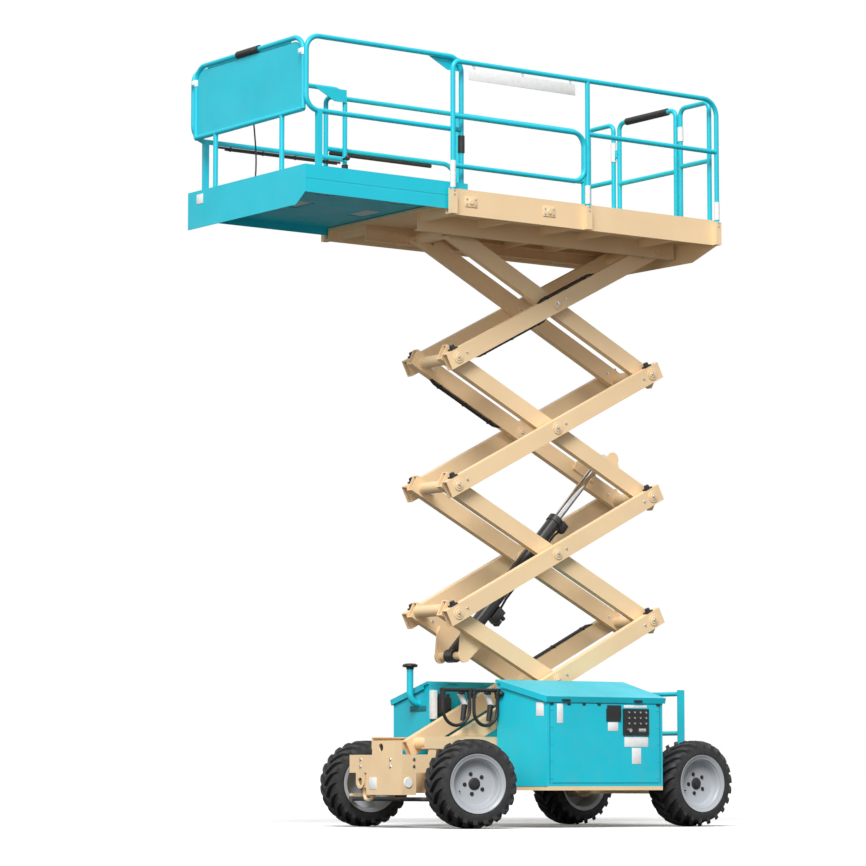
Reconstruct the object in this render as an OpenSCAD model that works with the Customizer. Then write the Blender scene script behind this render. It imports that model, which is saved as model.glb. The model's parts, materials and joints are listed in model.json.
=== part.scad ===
// Rough-terrain scissor lift with its platform raised and its deck extension out.
// Millimetres, +Z up, +X to the rear, the machine's left side at -Y.
// The origin lies on the ground, under the middle of the whole machine.

/* [Wheels] */
// Distance between the two axles
wheelbase = 2086; // [2040:1:2200]
// Distance between the middle planes of a pair of tyres
track = 1460; // [1440:1:1560]
// Diameter of a tyre over its lugs
tyre_d = 660; // [640:1:680]
// Width of a tyre
tyre_w = 300; // [280:1:304]
// Diameter of the tyre's bead
bead_d = 396; // [380:1:410]
// Height of the rim's edge over the bead
lip_h = 22; // [16:1:26]
// Wall of the rim
rim_t = 10; // [6:1:12]
// Depth of the wheel disc inside the rim's outer edge
dish = 80; // [60:1:90]
// Diameter of the hole in the middle of the wheel disc
hub_hole_d = 90; // [80:1:100]
// Angle that the front wheels are steered to
steer_a = 15; // [0:1:20]

/* [Scissor stack] */
// Distance between the end pins of an arm
arm_l = 2146; // [2100:1:2200]
// Angle of the arms above the ground
lift_a = 27; // [20:0.5:35]
// Height of the lowest pins
pin_z = 636; // [630:1:660]
// Place of the rear pins behind the middle of the wheelbase
pin_x = 1053; // [1000:1:1080]
// Height of an arm's tube
arm_h = 130; // [110:1:140]
// Width of an arm's tube
arm_w = 60; // [50:1:66]
// Wall of an arm's tube
arm_t = 8; // [5:1:10]
// Length of an arm's tube past its end pin
arm_over = 95; // [85:1:110]
// Distance between the left and right outer arms, centre to centre
outer_span = 524; // [520:1:540]
// Distance between the left and right inner arms, centre to centre
inner_span = 380; // [376:1:384]
// Diameter of the joint pins
pin_d = 50; // [40:1:56]
// Diameter of the tubes that join a pair of arms
cross_d = 90; // [70:1:100]

/* [Lift cylinder] */
// Diameter of the barrel
barrel_d = 110; // [95:1:116]
// Length of the barrel from its lower eye
barrel_l = 1490; // [1400:1:1500]
// Diameter of the rod
rod_d = 65; // [50:1:75]

/* [Platform] */
// Length of the main platform
deck_l = 2624; // [2600:1:2660]
// Width of the main platform over its toe boards
deck_w = 1632; // [1620:1:1660]
// Thickness of the floor
floor_t = 25; // [20:1:30]
// Height of the toe boards
toe_h = 197; // [180:1:210]
// Height of the top rail's centre over the floor
rail_h = 1060; // [1000:1:1100]
// Height of the middle rail's centre over the floor
mid_rail_h = 644; // [600:1:680]
// Height of the low rail's centre over the floor
low_rail_h = 268; // [250:1:300]
// Diameter of the guard rails' tube
rail_d = 38; // [32:1:42]

/* [Deck extension] */
// How far the extension's front lies in front of the main platform
ext_reach = 1276; // [1260:1:1300]
// Height of the extension's side boards
ext_toe_h = 204; // [190:1:210]
// Height of the extension's top rail over the main floor
ext_rail_h = 1108; // [1080:1:1130]
// Height of the extension's middle rail over the main floor
ext_mid_h = 558; // [530:1:600]

/* [Chassis] */
// Width of the chassis over its side beams
frame_w = 680; // [670:1:690]
// Height of the side beams
beam_h = 134; // [120:1:140]
// Width of a side beam
beam_w = 42; // [36:1:44]
// Height of the side beams' underside over the ground
frame_z = 412; // [405:1:416]

/* [Hoods] */
// Distance between the outer faces of the two hoods
hood_w = 1720; // [1700:1:1740]
// Distance between the inner faces of the two hoods
hood_gap = 720; // [714:1:740]
// Height of the hoods' underside over the ground
hood_z = 310; // [300:1:330]
// Height of the hoods at their outer face
hood_out_z = 965; // [930:1:980]
// Height of the hoods at their inner face
hood_in_z = 1095; // [1060:1:1110]
// Wall of a hood
hood_t = 6; // [4:1:10]
// Thickness of a lid
lid_t = 20; // [14:1:26]

/* [Ladder] */
// Distance between two rungs
rung_gap = 310; // [280:1:320]
// Width of the ladder
ladder_w = 560; // [500:1:600]

/* [Hidden] */
$fn = 48;

// Clearances and cuts
fit = 0.3;
pin_fit = 0.5;
over = 2;

// Colours
turquoise = [0.10, 0.68, 0.75];
cream = [0.90, 0.78, 0.60];
grey = [0.62, 0.64, 0.65];
steel = [0.75, 0.76, 0.78];
black = [0.06, 0.06, 0.07];

// Scissor places
stages = 4;
stage_h = arm_l * sin(lift_a);
pin_front_x = pin_x - arm_l * cos(lift_a);
top_z = pin_z + stages * stage_h;
inner_y = inner_span / 2;
outer_y = outer_span / 2;
outer_face = outer_y + arm_w / 2;
inner_face = inner_y - arm_w / 2;
boss_wall = 13;
boss_d = pin_d + 2 * boss_wall;
cap_edge = 10;
cap_d = pin_d + 2 * cap_edge;
cap_t = 6;
end_tube_shift = 60;
top_over = 40;
stow_a = 5;
full_a = 56.4;

// Slide roller and its track, alike on chassis and platform
roller_d = 74;
roller_w = 40;
roller_gap = 6;
slide_in = outer_face + roller_gap;
slide_out = slide_in + roller_w;
track_t = 8;
track_lip = slide_in + roller_gap;
track_end = 90;
track_front = pin_x - arm_l * cos(stow_a) - roller_d / 2 - track_end;
track_rear = pin_x - arm_l * cos(full_a) + roller_d / 2 + track_end;
riser_l = 60;
riser_shares = [0.04, 0.48, 0.92];

// Cylinder places on the arms
base_back = 279;
base_drop = 206;
eye_back = 395;
eye_rise = 124;
lug_t = 15;
lug_r = 55;
base_pin_d = 60;
base_eye_d = 104;
base_eye_w = 96;
rod_eye_d = 96;
rod_eye_w = 84;
rod_hole_d = 50;
stub_gap = 8;
base_u = arm_l - base_back;
function inner_point(stage, u, rise) = [
    pin_x - u * cos(lift_a) + rise * sin(lift_a), 0,
    pin_z + (stage - 1) * stage_h + u * sin(lift_a) + rise * cos(lift_a)];
base_p = inner_point(1, base_u, -base_drop);
eye_p = inner_point(3, eye_back, eye_rise);
cylinder_v = eye_p - base_p;
cylinder_l = norm(cylinder_v);
cylinder_a = atan2(cylinder_v[2], cylinder_v[0]);
barrel_t = 14;
rod_stroke = 1470;
piston_l = 60;
gland_l = 50;
gland_over = 8;
cavity_start = 90;

// Platform places
floor_rise = 108;
floor_z = top_z + floor_rise;
floor_under = floor_z - floor_t;
toe_rise = 13;
toe_z = top_z + toe_rise;
toe_t = 6;
deck_over = 237;
deck_rear = pin_x + deck_over;
deck_front = deck_rear - deck_l;
deck_y = deck_w / 2;
guide_w = 36;
guide_in = deck_y - toe_t - guide_w;
guide_rise = 10;
guide_floor_z = toe_z + guide_rise;
guide_t = 6;
rear_chamfer = 300;
rear_drop = 100;
member_h = 60;
member_w = 50;
member_shares = [0.03, 0.24, 0.47, 0.62, 0.86];
centre_member_shares = [-0.02, 0.19];
post_gap = 4;
post_y = deck_y + post_gap + rail_d / 2;
socket_w = 52;
socket_h = 180;
socket_base = 12;
mid_post_share = 0.4966;
mid_post_x = deck_front + mid_post_share * deck_l;
post_front_x = deck_front + rail_d / 2;
post_rear_x = deck_rear - rail_d / 2;
rail_bend = 60;
rear_bend = 130;
loop_bend = 110;
loop_gap = 30;
rail_z = floor_z + rail_h;
mid_rail_z = floor_z + mid_rail_h;
low_rail_z = floor_z + low_rail_h;
cable_d = 30;
cable_back = 266;

// Rear end and gate
rear_x = deck_rear - toe_t - fit - rail_d / 2;
rear_post_in = 56;
rear_post_y = deck_y - rear_post_in;
gate_hinge_y = 398;
hinge_reach = 38;
gate_free_y = -352;
section_near_y = -410;
section_mid_h = 590;
gate_mid_h = 560;
gate_foot_h = 60;
hinge_pin_d = 14;
hinge_sleeve_d = 26;
hinge_l = 60;
hinge_shares = [0.2, 0.8];
hinge_plate = 12;
grip_d = 58;
gate_grip_l = 516;

// Deck extension
ext_front = deck_front - ext_reach;
ext_side_gap = 15;
ext_y = deck_y - toe_t - ext_side_gap;
ext_t = 6;
ext_gap = 6;
ext_pan_t = 8;
ext_floor_t = 6;
ext_z = floor_z + ext_gap;
ext_pan_top = ext_z + ext_pan_t;
ext_toe_drop = 53;
ext_toe_z = floor_z - ext_toe_drop;
ext_lap = 190;
ext_back = deck_front + ext_lap;
ext_skid_w = 16;
ext_front_drop = 80;
ext_front_chamfer = 120;
ext_groove_shares = [0.44, 0.5];
ext_rail_y = ext_y - ext_t - post_gap - rail_d / 2;
ext_post_w = 40;
ext_post_back = 137;
ext_post_x = ext_front + ext_post_back;
ext_post_in = 40;
ext_rear_post_x = ext_back - ext_post_in;
ext_rail_x = ext_front + ext_t + fit + rail_d / 2;
ext_rail_z = floor_z + ext_rail_h;
ext_mid_z = floor_z + ext_mid_h;
rail_turn_r = 110;
ext_foot_z = ext_pan_top + ext_floor_t;
guide_plate_l = 313;
guide_plate_h = 100;
guide_plate_t = 8;
guide_tip_share = 0.35;
handle_grip_h = 130;
handle_grip_d = 52;
handle_rise = 385;
handle_grip_z = floor_z + handle_rise;
cutout_shares = [0.11, 0.17];
cutout_place_shares = [[0.1, -0.72], [0.27, -0.72], [0.32, 0.02], [0.77, 0.08], [0.71, -0.72]];
hoop_y = ext_rail_y - rail_d - fit;
hoop_low_h = 567;
hoop_low_z = floor_z + hoop_low_h;
hoop_bend = 120;
hoop_post_y = 450;
sheet_t = 4;
hoop_grip_l = 290;
hoop_grip_y = 0;
console_w = 260;
console_d = 160;
console_h = 200;
console_y = 120;
console_arm = 30;

// Chassis places
axle_x = wheelbase / 2;
axle_z = tyre_d / 2;
frame_y = frame_w / 2;
frame_in = frame_y - beam_w;
frame_top = frame_z + beam_h;
frame_nose = 377;
frame_tail = 257;
frame_front = -axle_x - frame_nose;
frame_rear = axle_x + frame_tail;
plate_t = 14;
tie_hole_d = 60;
tie_in = 137;
tie_up = 16;
tie_plate_r = 53;
tie_y = frame_y - tie_in;
tie_z = axle_z + tie_up;
rear_tie_y = 135;
nose_z = 247;
nose_far_y = 120;
nose_back = 130;
tow_w = 370;
tow_back = 70;
tow_hole_y = -70;
tow_h = 105;
rear_plate_drop = 60;
chassis_member_h = 70;
chassis_member_shares = [0.22, 0.45, 0.7, 0.93];
lug_gap = 10;
lug_in = inner_y + arm_w / 2 + lug_gap;
lug_w = 30;
lug_plate_r = 60;
lug_foot_h = 60;
outrigger_w = 60;
outrigger_shares = [0.25, 0.8];

// Hoods, set off from the wheels before and behind them
hood_lead = tyre_d / 2 - axle_x;
near_gap_out = 253;
near_gap_in = 163;
far_gap_out = 73;
far_gap_in = 53;
near_front_out = hood_lead + near_gap_out;
near_front_in = hood_lead + near_gap_in;
far_front_out = hood_lead + far_gap_out;
far_front_in = hood_lead + far_gap_in;
far_front_cut = 90;
far_cut_h = 320;
hood_rear_gap = 53;
hood_rear = axle_x - tyre_d / 2 - hood_rear_gap;
hood_y = hood_w / 2;
hood_in = hood_gap / 2;
hood_slope = atan2(hood_in_z - hood_out_z, hood_y - hood_in);
hood_low_share = 0.4;
hood_rise = 110;
tray_h = 30;
tray_in = 4;
panel_t = 5;
panel_edge = 40;
panel_low = 28;
panel_h = 590;
lid_over = 18;
lid_fold = 24;
lid_edge = 5;
lid_keep = 60;
lid_barrel_d = 18;
lid_barrel_l = 90;
lid_barrel_out = 8;
lid_barrel_shares = [0.15, 0.85];
lid_axis_y = hood_in - lid_barrel_out;
lid_axis_z = hood_in_z + lid_barrel_d / 2;
controls_back = 395;
controls_z = 695;
controls_w = 248;
controls_h = 200;
controls_d = 12;
vent_back = 556;
vent_z = 800;
vent_w = 137;
vent_h = 95;
vent_d = 8;
engine_l = 620;
engine_h = 520;
engine_back = 330;
tank_l = 520;
tank_h = 420;
bay_gap = 30;
bay_in = hood_in + hood_low_share * (hood_y - hood_in) + bay_gap;
bay_out = hood_y - hood_t - bay_gap;
neck_d = 52;
neck_bend = 80;
neck_foot = 12;
neck_in = 150;
neck_y = hood_in + neck_in;
neck_drop = 20;
neck_top_z = 1210;
neck_cap_d = 96;
neck_cap_h = 30;
hose_d = 26;
hose_bar_d = 30;
hose_foot = 10;
hose_top_z = 1030;
hose_drop = 265;
hose_in = 30;
hose_y = hood_in + hose_in;
hose_spans = [220, 250];
hose_gap = 20;
hose_apart = 40;
hose_fronts = [near_front_in - hose_gap - hose_spans[0],
    near_front_in - hose_gap - hose_spans[0] - hose_apart - hose_spans[1]];
hose_end_x = hose_fronts[1] - hose_gap;
fitting_d = 38;
fitting_l = 50;

// Axles and steering
king_in = 115;
king_y = track / 2 - king_in;
king_d = 44;
king_h = 190;
yoke_t = 34;
axle_w = 160;
axle_h = 140;
axle_end_w = 96;
axle_gap = 40;
knuckle_d = 90;
spindle_d = 64;
hub_d = hub_hole_d - 2 * fit;
hub_l = 4;
steer_arm_x = 170;
steer_arm_y = 75;
steer_arm_t = 20;
steer_arm_w = 40;
tie_rod_d = 32;
tie_rod_z = 214;
tie_pin_d = 20;
tie_pin_over = 8;
tie_eye_d = 44;
tie_eye_h = 36;
motor_d = 220;
motor_l = 150;
rear_axle_h = 160;

// Tyres
tyre_r = tyre_d / 2;
bead_r = bead_d / 2;
tyre_flats = 22;
bore_gap = 0.2;
bore_r = (bead_r + bore_gap) / cos(180 / tyre_flats);
lip_r = (bead_r + lip_h + bore_gap) / cos(180 / tyre_flats);
treads = 22;
tread_h = 24;
tread_w = 30;
tread_l = 166;
tread_deep = 56;
tread_a = 40;
tread_lean = 4;
tread_lap = 4;
tread_sag = 12.1;
tread_turn = 1.7;

// Ladder
ladder_x = frame_rear + plate_t;
stringer_w = 60;
stringer_t = 20;
ladder_top_z = 1064;
ladder_low_z = 384;
rung_drop = 30;
rung_d = 36;
rungs = 3;

// Ends of the machine along X and the shift that centres it
machine_rear = ladder_x + stringer_w;
machine_front = ext_rail_x - grip_d / 2;
mid_x = (machine_front + machine_rear) / 2;

// Plain round bar between two points
module bar(p, q, d) {
    v = q - p;
    l = norm(v);
    translate(p) rotate([0, acos(v[2] / l), atan2(v[1], v[0])]) cylinder(d = d, h = l);
}

// Quarter bend of a tube at corner c, from direction v to direction w
module elbow(c, v, w, r, d) {
    o = c - r * v + r * w;
    n = cross(-w, v);
    multmatrix([[-w[0], v[0], n[0], o[0]], [-w[1], v[1], n[1], o[1]],
                [-w[2], v[2], n[2], o[2]], [0, 0, 0, 1]])
        rotate_extrude(angle = 90) translate([r, 0]) circle(d = d);
}

function unit(v) = v / norm(v);

// Bent tube through right-angled corners
module bent_tube(points, r, d) {
    last = len(points) - 1;
    for (i = [0:last - 1]) {
        v = unit(points[i + 1] - points[i]);
        a = points[i] + (i > 0 ? r : 0) * v;
        b = points[i + 1] - (i < last - 1 ? r : 0) * v;
        if ((b - a) * v > fit) bar(a, b, d);
    }
    for (i = [1:1:last - 1])
        elbow(points[i], unit(points[i] - points[i - 1]), unit(points[i + 1] - points[i]), r, d);
}

// Cylinder along Y from y0 to y1
module y_rod(x, z, y0, y1, d) {
    translate([x, y0, z]) rotate([-90, 0, 0]) cylinder(d = d, h = y1 - y0);
}

// Box by its two corners
module block(a, b) {
    translate(a) cube(b - a);
}

// Both sides of the machine
module both_sides() {
    for (s = [0, 1]) mirror([0, s, 0]) children();
}

// Moves the drawing so that the origin is under the machine's middle
module placed(tint) {
    color(tint) translate([-mid_x, 0, 0]) children();
}

// Frame of an inner arm: along the arm from its rear lower pin, +Z above it
module inner_frame(stage) {
    translate([pin_x, 0, pin_z + (stage - 1) * stage_h]) mirror([1, 0, 0]) rotate([0, -lift_a, 0]) children();
}

// Frame of an outer arm: along the arm from its front lower pin, +Z above it
module outer_frame(stage) {
    translate([pin_front_x, 0, pin_z + (stage - 1) * stage_h]) rotate([0, -lift_a, 0]) children();
}

// Open box tube of one arm at +Y, with a pipe across it at each pin
module arm_tube(y, end_over) {
    difference() {
        block([-arm_over, y - arm_w / 2, -arm_h / 2], [arm_l + end_over, y + arm_w / 2, arm_h / 2]);
        block([-arm_over - over, y - arm_w / 2 + arm_t, -arm_h / 2 + arm_t],
              [arm_l + end_over + over, y + arm_w / 2 - arm_t, arm_h / 2 - arm_t]);
    }
    for (u = [0, arm_l / 2, arm_l]) y_rod(u, 0, y - arm_w / 2, y + arm_w / 2, boss_d);
}

// Pin with a keeper plate outside the outer arm
module joint_pin(u) {
    y_rod(u, 0, inner_y, outer_face + pin_fit + cap_t, pin_d);
    y_rod(u, 0, outer_face + pin_fit, outer_face + pin_fit + cap_t, cap_d);
}

// Plate on an arm's inner face that reaches to a cylinder eye
module eye_lug(u, rise) {
    foot = arm_h / 2;
    side = sign(rise);
    translate([0, inner_face, 0]) rotate([90, 0, 0]) linear_extrude(lug_t) {
        polygon([[u - 2 * lug_r, side * foot], [u - 2 * lug_r, 0], [u + 2 * lug_r, 0],
                 [u + 2 * lug_r, side * foot], [u + lug_r, rise], [u - lug_r, rise]]);
        translate([u, rise]) circle(r = lug_r);
    }
}

// Pair of inner arms of one stage with the tubes that join them
module inner_pair(stage) {
    first = stage == 1;
    last = stage == stages;
    inner_frame(stage) {
        both_sides() {
            arm_tube(inner_y, last ? top_over : arm_over);
            joint_pin(arm_l / 2);
            if (first) y_rod(0, 0, inner_y, lug_in + lug_w + pin_fit, pin_d);
            else joint_pin(0);
            if (last) {
                y_rod(arm_l, 0, inner_y, slide_out - pin_fit, pin_d);
            } else joint_pin(arm_l);
            if (first) eye_lug(base_u, -base_drop);
            if (stage == 3) {
                eye_lug(eye_back, eye_rise);
                y_rod(eye_back, eye_rise, rod_eye_w / 2 + stub_gap, inner_face - lug_t, base_pin_d);
            }
        }
        y_rod(0, 0, -inner_face, inner_face, cross_d);
        y_rod(arm_l + (first ? end_tube_shift : 0), 0, -inner_face, inner_face, cross_d);
        if (first) y_rod(base_u, -base_drop, -inner_face + lug_t, inner_face - lug_t, base_pin_d);
    }
    if (last) both_sides() slide_roller(pin_front_x, top_z);
}

// Roller that runs in a slide track
module slide_roller(x, z) {
    y_rod(x, z, slide_in, slide_out, roller_d);
}

// Pair of outer arms of one stage, bored for the pins
module outer_pair(stage) {
    first = stage == 1;
    last = stage == stages;
    outer_frame(stage) {
        both_sides() difference() {
            arm_tube(outer_y, last ? top_over : arm_over);
            for (u = [first ? arm_l / 2 : 0, arm_l / 2, last ? arm_l / 2 : arm_l])
                y_rod(u, 0, outer_y - arm_w, outer_y + arm_w, pin_d + 2 * pin_fit);
        }
        both_sides() {
            if (first) y_rod(0, 0, outer_y, slide_in + roller_w / 2, pin_d);
            if (last) y_rod(arm_l, 0, outer_y, slide_out + track_t, pin_d);
        }
        if (first) y_rod(0, 0, -outer_y + arm_w / 2, outer_y - arm_w / 2, cross_d);
        if (last) y_rod(arm_l, 0, -outer_y + arm_w / 2, outer_y - arm_w / 2, cross_d);
    }
    if (first) both_sides() slide_roller(pin_front_x, pin_z);
}

module inner_arms_1() { placed(cream) inner_pair(1); }
module inner_arms_2() { placed(cream) inner_pair(2); }
module inner_arms_3() { placed(cream) inner_pair(3); }
module inner_arms_4() { placed(cream) inner_pair(4); }
module outer_arms_1() { placed(cream) outer_pair(1); }
module outer_arms_2() { placed(cream) outer_pair(2); }
module outer_arms_3() { placed(cream) outer_pair(3); }
module outer_arms_4() { placed(cream) outer_pair(4); }

// Frame of the lift cylinder: +X from its lower eye to its upper one
module cylinder_frame() {
    translate(base_p) rotate([0, -cylinder_a, 0]) children();
}

module x_rod(x0, x1, d) {
    translate([x0, 0, 0]) rotate([0, 90, 0]) cylinder(d = d, h = x1 - x0);
}

module lift_barrel() {
    placed(black) cylinder_frame() difference() {
        union() {
            x_rod(0, barrel_l, barrel_d);
            x_rod(barrel_l - gland_l, barrel_l, barrel_d + 2 * gland_over);
            y_rod(0, 0, -base_eye_w / 2, base_eye_w / 2, base_eye_d);
        }
        x_rod(cavity_start, barrel_l - gland_l, barrel_d - 2 * barrel_t);
        x_rod(barrel_l - gland_l - over, barrel_l + over, rod_d + 2 * pin_fit);
        y_rod(0, 0, -base_eye_w, base_eye_w, base_pin_d + 2 * pin_fit);
    }
}

module lift_rod() {
    placed(steel) cylinder_frame() difference() {
        union() {
            x_rod(cylinder_l - rod_stroke, cylinder_l, rod_d);
            x_rod(cylinder_l - rod_stroke, cylinder_l - rod_stroke + piston_l,
                  barrel_d - 2 * barrel_t - 2 * pin_fit);
            y_rod(cylinder_l, 0, -rod_eye_w / 2, rod_eye_w / 2, rod_eye_d);
        }
        y_rod(cylinder_l, 0, -rod_eye_w, rod_eye_w, rod_hole_d);
    }
}

// Channel that holds a slide roller, open towards the middle
module slide_channel(x0, x1, z) {
    low = z - roller_d / 2 - fit;
    high = z + roller_d / 2 + fit;
    block([x0, slide_out + fit, low - track_t], [x1, slide_out + fit + track_t, high + track_t]);
    block([x0, track_lip, low - track_t], [x1, slide_out + fit + over, low]);
    block([x0, track_lip, high], [x1, slide_out + fit + over, high + track_t]);
}

module slide_tracks() {
    placed(cream) both_sides() {
        slide_channel(track_front, track_rear, pin_z);
        for (share = riser_shares) {
            x = track_front + share * (track_rear - track_front - riser_l);
            block([x, frame_y - beam_w / 2, frame_top],
                  [x + riser_l, frame_y, pin_z - roller_d / 2 - fit - track_t]);
        }
    }
}

module chassis_frame() {
    placed(cream) {
        difference() {
            union() {
                both_sides() {
                    block([frame_front, frame_in, frame_z], [frame_rear, frame_y, frame_top]);
                    rear_pin_lug();
                    for (share = outrigger_shares) {
                        x = near_front_out + share * (hood_rear - near_front_out);
                        block([x, frame_y, frame_z], [x + outrigger_w, hood_in, frame_top]);
                    }
                }
                for (share = chassis_member_shares) {
                    x = frame_front + share * (frame_rear - frame_front);
                    block([x, -frame_in, frame_z], [x + member_w, frame_in, frame_z + chassis_member_h]);
                }
                block([frame_front, -frame_in, frame_z], [frame_front + plate_t, frame_in, frame_top]);
                block([frame_front, -frame_y + plate_t, frame_top - over],
                      [frame_front + plate_t, -frame_y + plate_t + tow_w, frame_top + tow_h]);
                block([frame_front, -frame_y + plate_t, frame_top + tow_h - plate_t],
                      [frame_front + tow_back, -frame_y + plate_t + tow_w, frame_top + tow_h]);
                block([frame_front, -frame_y, nose_z], [frame_front + plate_t, nose_far_y, frame_z + over]);
                block([frame_front, -frame_y, nose_z], [frame_front + nose_back, nose_far_y, nose_z + plate_t]);
                for (y = [-frame_y, nose_far_y - plate_t])
                    block([frame_front, y, nose_z], [frame_front + nose_back, y + plate_t, frame_z + over]);
                x_extruded(frame_front, frame_front + plate_t) {
                    translate([tie_y, tie_z]) circle(r = tie_plate_r);
                    translate([tie_y - tie_plate_r, tie_z]) square([2 * tie_plate_r, frame_z + over - tie_z]);
                }
                block([frame_rear, -frame_y, frame_z - rear_plate_drop],
                      [frame_rear + plate_t, frame_y, frame_top]);
            }
            x_hole(frame_front, tie_y, tie_z);
            for (s = [-1, 1]) x_hole(frame_rear, s * rear_tie_y, frame_z + beam_h / 2);
            x_hole(frame_front, tow_hole_y, frame_top + tow_h / 2);
        }
    }
}

// Round hole along X through a plate that starts at x
module x_hole(x, y, z) {
    translate([x - over, y, z]) rotate([0, 90, 0]) cylinder(d = tie_hole_d, h = plate_t + 2 * over);
}

// Upright plate beside the rear lower pin, with its bore
module rear_pin_lug() {
    difference() {
        translate([pin_x, lug_in, 0]) rotate([90, 0, 0]) mirror([0, 0, 1]) linear_extrude(lug_w) {
            translate([-lug_plate_r, frame_top - over]) square([2 * lug_plate_r, pin_z - frame_top + over]);
            translate([0, pin_z]) circle(r = lug_plate_r);
        }
        y_rod(pin_x, pin_z, lug_in - over, lug_in + lug_w + over, pin_d + 2 * pin_fit);
    }
    block([pin_x - lug_plate_r, lug_in, frame_top - lug_foot_h], [pin_x + lug_plate_r, frame_y, frame_top]);
}

module front_axle() {
    placed(cream) {
        translate([-axle_x, 0, 0]) {
            block([-axle_w / 2, -frame_y, axle_z - axle_h / 2], [axle_w / 2, frame_y, axle_z + axle_h / 2]);
            block([-axle_w / 2, -frame_y, axle_z + axle_h / 2 - over], [axle_w / 2, frame_y, frame_z]);
            both_sides() difference() {
                union() {
                    block([-axle_end_w / 2, frame_y - over, axle_z - axle_h / 2],
                          [axle_end_w / 2, king_y - knuckle_d / 2 - axle_gap / 4, axle_z + axle_h / 2]);
                    yoke_plate(axle_z + axle_h / 2 - yoke_t);
                    yoke_plate(axle_z - axle_h / 2);
                }
                translate([0, king_y, 0]) cylinder(d = king_d + 2 * pin_fit, h = axle_z + king_h);
            }
        }
    }
}

// Flat ear of the axle's end around the kingpin
module yoke_plate(z) {
    translate([0, 0, z]) linear_extrude(yoke_t) {
        translate([-axle_end_w / 2, king_y - knuckle_d]) square([axle_end_w, knuckle_d]);
        translate([0, king_y]) circle(d = axle_end_w);
    }
}

// Steered knuckle of the wheel at +Y, about its kingpin
module knuckle(side) {
    gap_h = axle_h - 2 * yoke_t - 2 * fit;
    disc_in = king_in + tyre_w / 2 - dish - rim_t;
    translate([-axle_x, side * king_y, 0]) rotate([0, 0, -steer_a]) mirror([0, side > 0 ? 0 : 1, 0]) {
        translate([0, 0, axle_z - king_h / 2]) cylinder(d = king_d, h = king_h);
        translate([0, 0, axle_z - gap_h / 2]) cylinder(d = knuckle_d, h = gap_h);
        y_rod(0, axle_z, 0, disc_in, spindle_d);
        y_rod(0, axle_z, disc_in, disc_in + rim_t + hub_l, hub_d - 2 * fit);
        translate([0, 0, axle_z - king_h / 2]) linear_extrude(steer_arm_t) {
            circle(d = knuckle_d);
            arm_bar([0, 0], [-steer_arm_x, -steer_arm_y], steer_arm_w);
        }
        if (side < 0) translate([-steer_arm_x, -steer_arm_y, tie_rod_z - tie_eye_h / 2 - tie_pin_over])
            cylinder(d = tie_pin_d, h = axle_z - king_h / 2 - tie_rod_z + tie_eye_h / 2 + tie_pin_over + over);
    }
}

// Flat bar with round ends, drawn in plan
module arm_bar(p, q, w) {
    v = q - p;
    translate(p) rotate(atan2(v[1], v[0])) {
        translate([0, -w / 2]) square([norm(v), w]);
        translate([norm(v), 0]) circle(d = w);
    }
}

module near_knuckle() { placed(cream) knuckle(-1); }
module far_knuckle() { placed(cream) knuckle(1); }

// Place of a steering arm's pin, seen from above
function steer_pin(side) = [
    -axle_x - steer_arm_x * cos(steer_a) - side * steer_arm_y * sin(steer_a),
    side * king_y + steer_arm_x * sin(steer_a) - side * steer_arm_y * cos(steer_a), tie_rod_z];

// Tie rod on the near steering arm's pin, its far stud running free under the far arm
module tie_rod() {
    placed(steel) difference() {
        union() {
            bar(steer_pin(-1), steer_pin(1), tie_rod_d);
            for (s = [-1, 1]) translate(steer_pin(s) - [0, 0, tie_eye_h / 2])
                cylinder(d = tie_eye_d, h = tie_eye_h);
            translate(steer_pin(1))
                cylinder(d = tie_pin_d, h = axle_z - king_h / 2 - tie_rod_z - pin_fit);
        }
        translate(steer_pin(-1) - [0, 0, tie_rod_d])
            cylinder(d = tie_pin_d + 2 * pin_fit, h = 2 * tie_rod_d);
    }
}

module rear_axle() {
    wheel_in = track / 2 - tyre_w / 2;
    disc_in = track / 2 + tyre_w / 2 - dish - rim_t;
    placed(cream) translate([axle_x, 0, axle_z]) {
        block([-axle_w / 2, -wheel_in, -rear_axle_h / 2], [axle_w / 2, wheel_in, rear_axle_h / 2]);
        block([-axle_w / 2, -frame_y, 0], [axle_w / 2, frame_y, frame_z - axle_z]);
        both_sides() {
            y_rod(0, 0, wheel_in - over, wheel_in + motor_l, motor_d);
            y_rod(0, 0, wheel_in + motor_l - over, disc_in, spindle_d);
            y_rod(0, 0, disc_in, disc_in + rim_t + hub_l, hub_d - 2 * fit);
        }
    }
}

// Disc of flats about a wheel's own axis
module flat_disc(r, w) {
    translate([0, w / 2, 0]) rotate([90, 0, 0]) linear_extrude(w)
        polygon([for (i = [0:tyre_flats - 1]) r * [cos(i * 360 / tyre_flats), sin(i * 360 / tyre_flats)]]);
}

// Tread lug from the middle of the tread over the shoulder at +Y, leant back at the shoulder
module tread_lug() {
    translate([0, tyre_w / 4 - tread_lap, tyre_r - tread_sag]) rotate([-tread_lean, 0, -tread_a])
        translate([-tread_w / 2, -tread_l / 2, -tread_deep]) cube([tread_w, tread_l, tread_deep]);
}

// Tyre about the wheel's own axis, along +Y outwards: carcass, lugs, seat and rim edges
module lugged_tyre() {
    difference() {
        union() {
            flat_disc(tyre_r - tread_h, tyre_w);
            for (i = [0:treads - 1], s = [0, 1])
                mirror([0, s, 0]) rotate([0, tread_turn + (i + s / 2) * 360 / treads, 0]) tread_lug();
        }
        flat_disc(bore_r, 2 * tyre_w);
        for (s = [-1, 1]) translate([0, s * tyre_w / 2, 0]) flat_disc(lip_r, 2 * (rim_t + fit));
    }
}

// Turns a section about the wheel's own axis, along +Y outwards
module wheel_turned() {
    rotate([-90, 0, 0]) rotate_extrude($fn = 96) mirror([0, 1]) rotate(-90) children();
}

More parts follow.
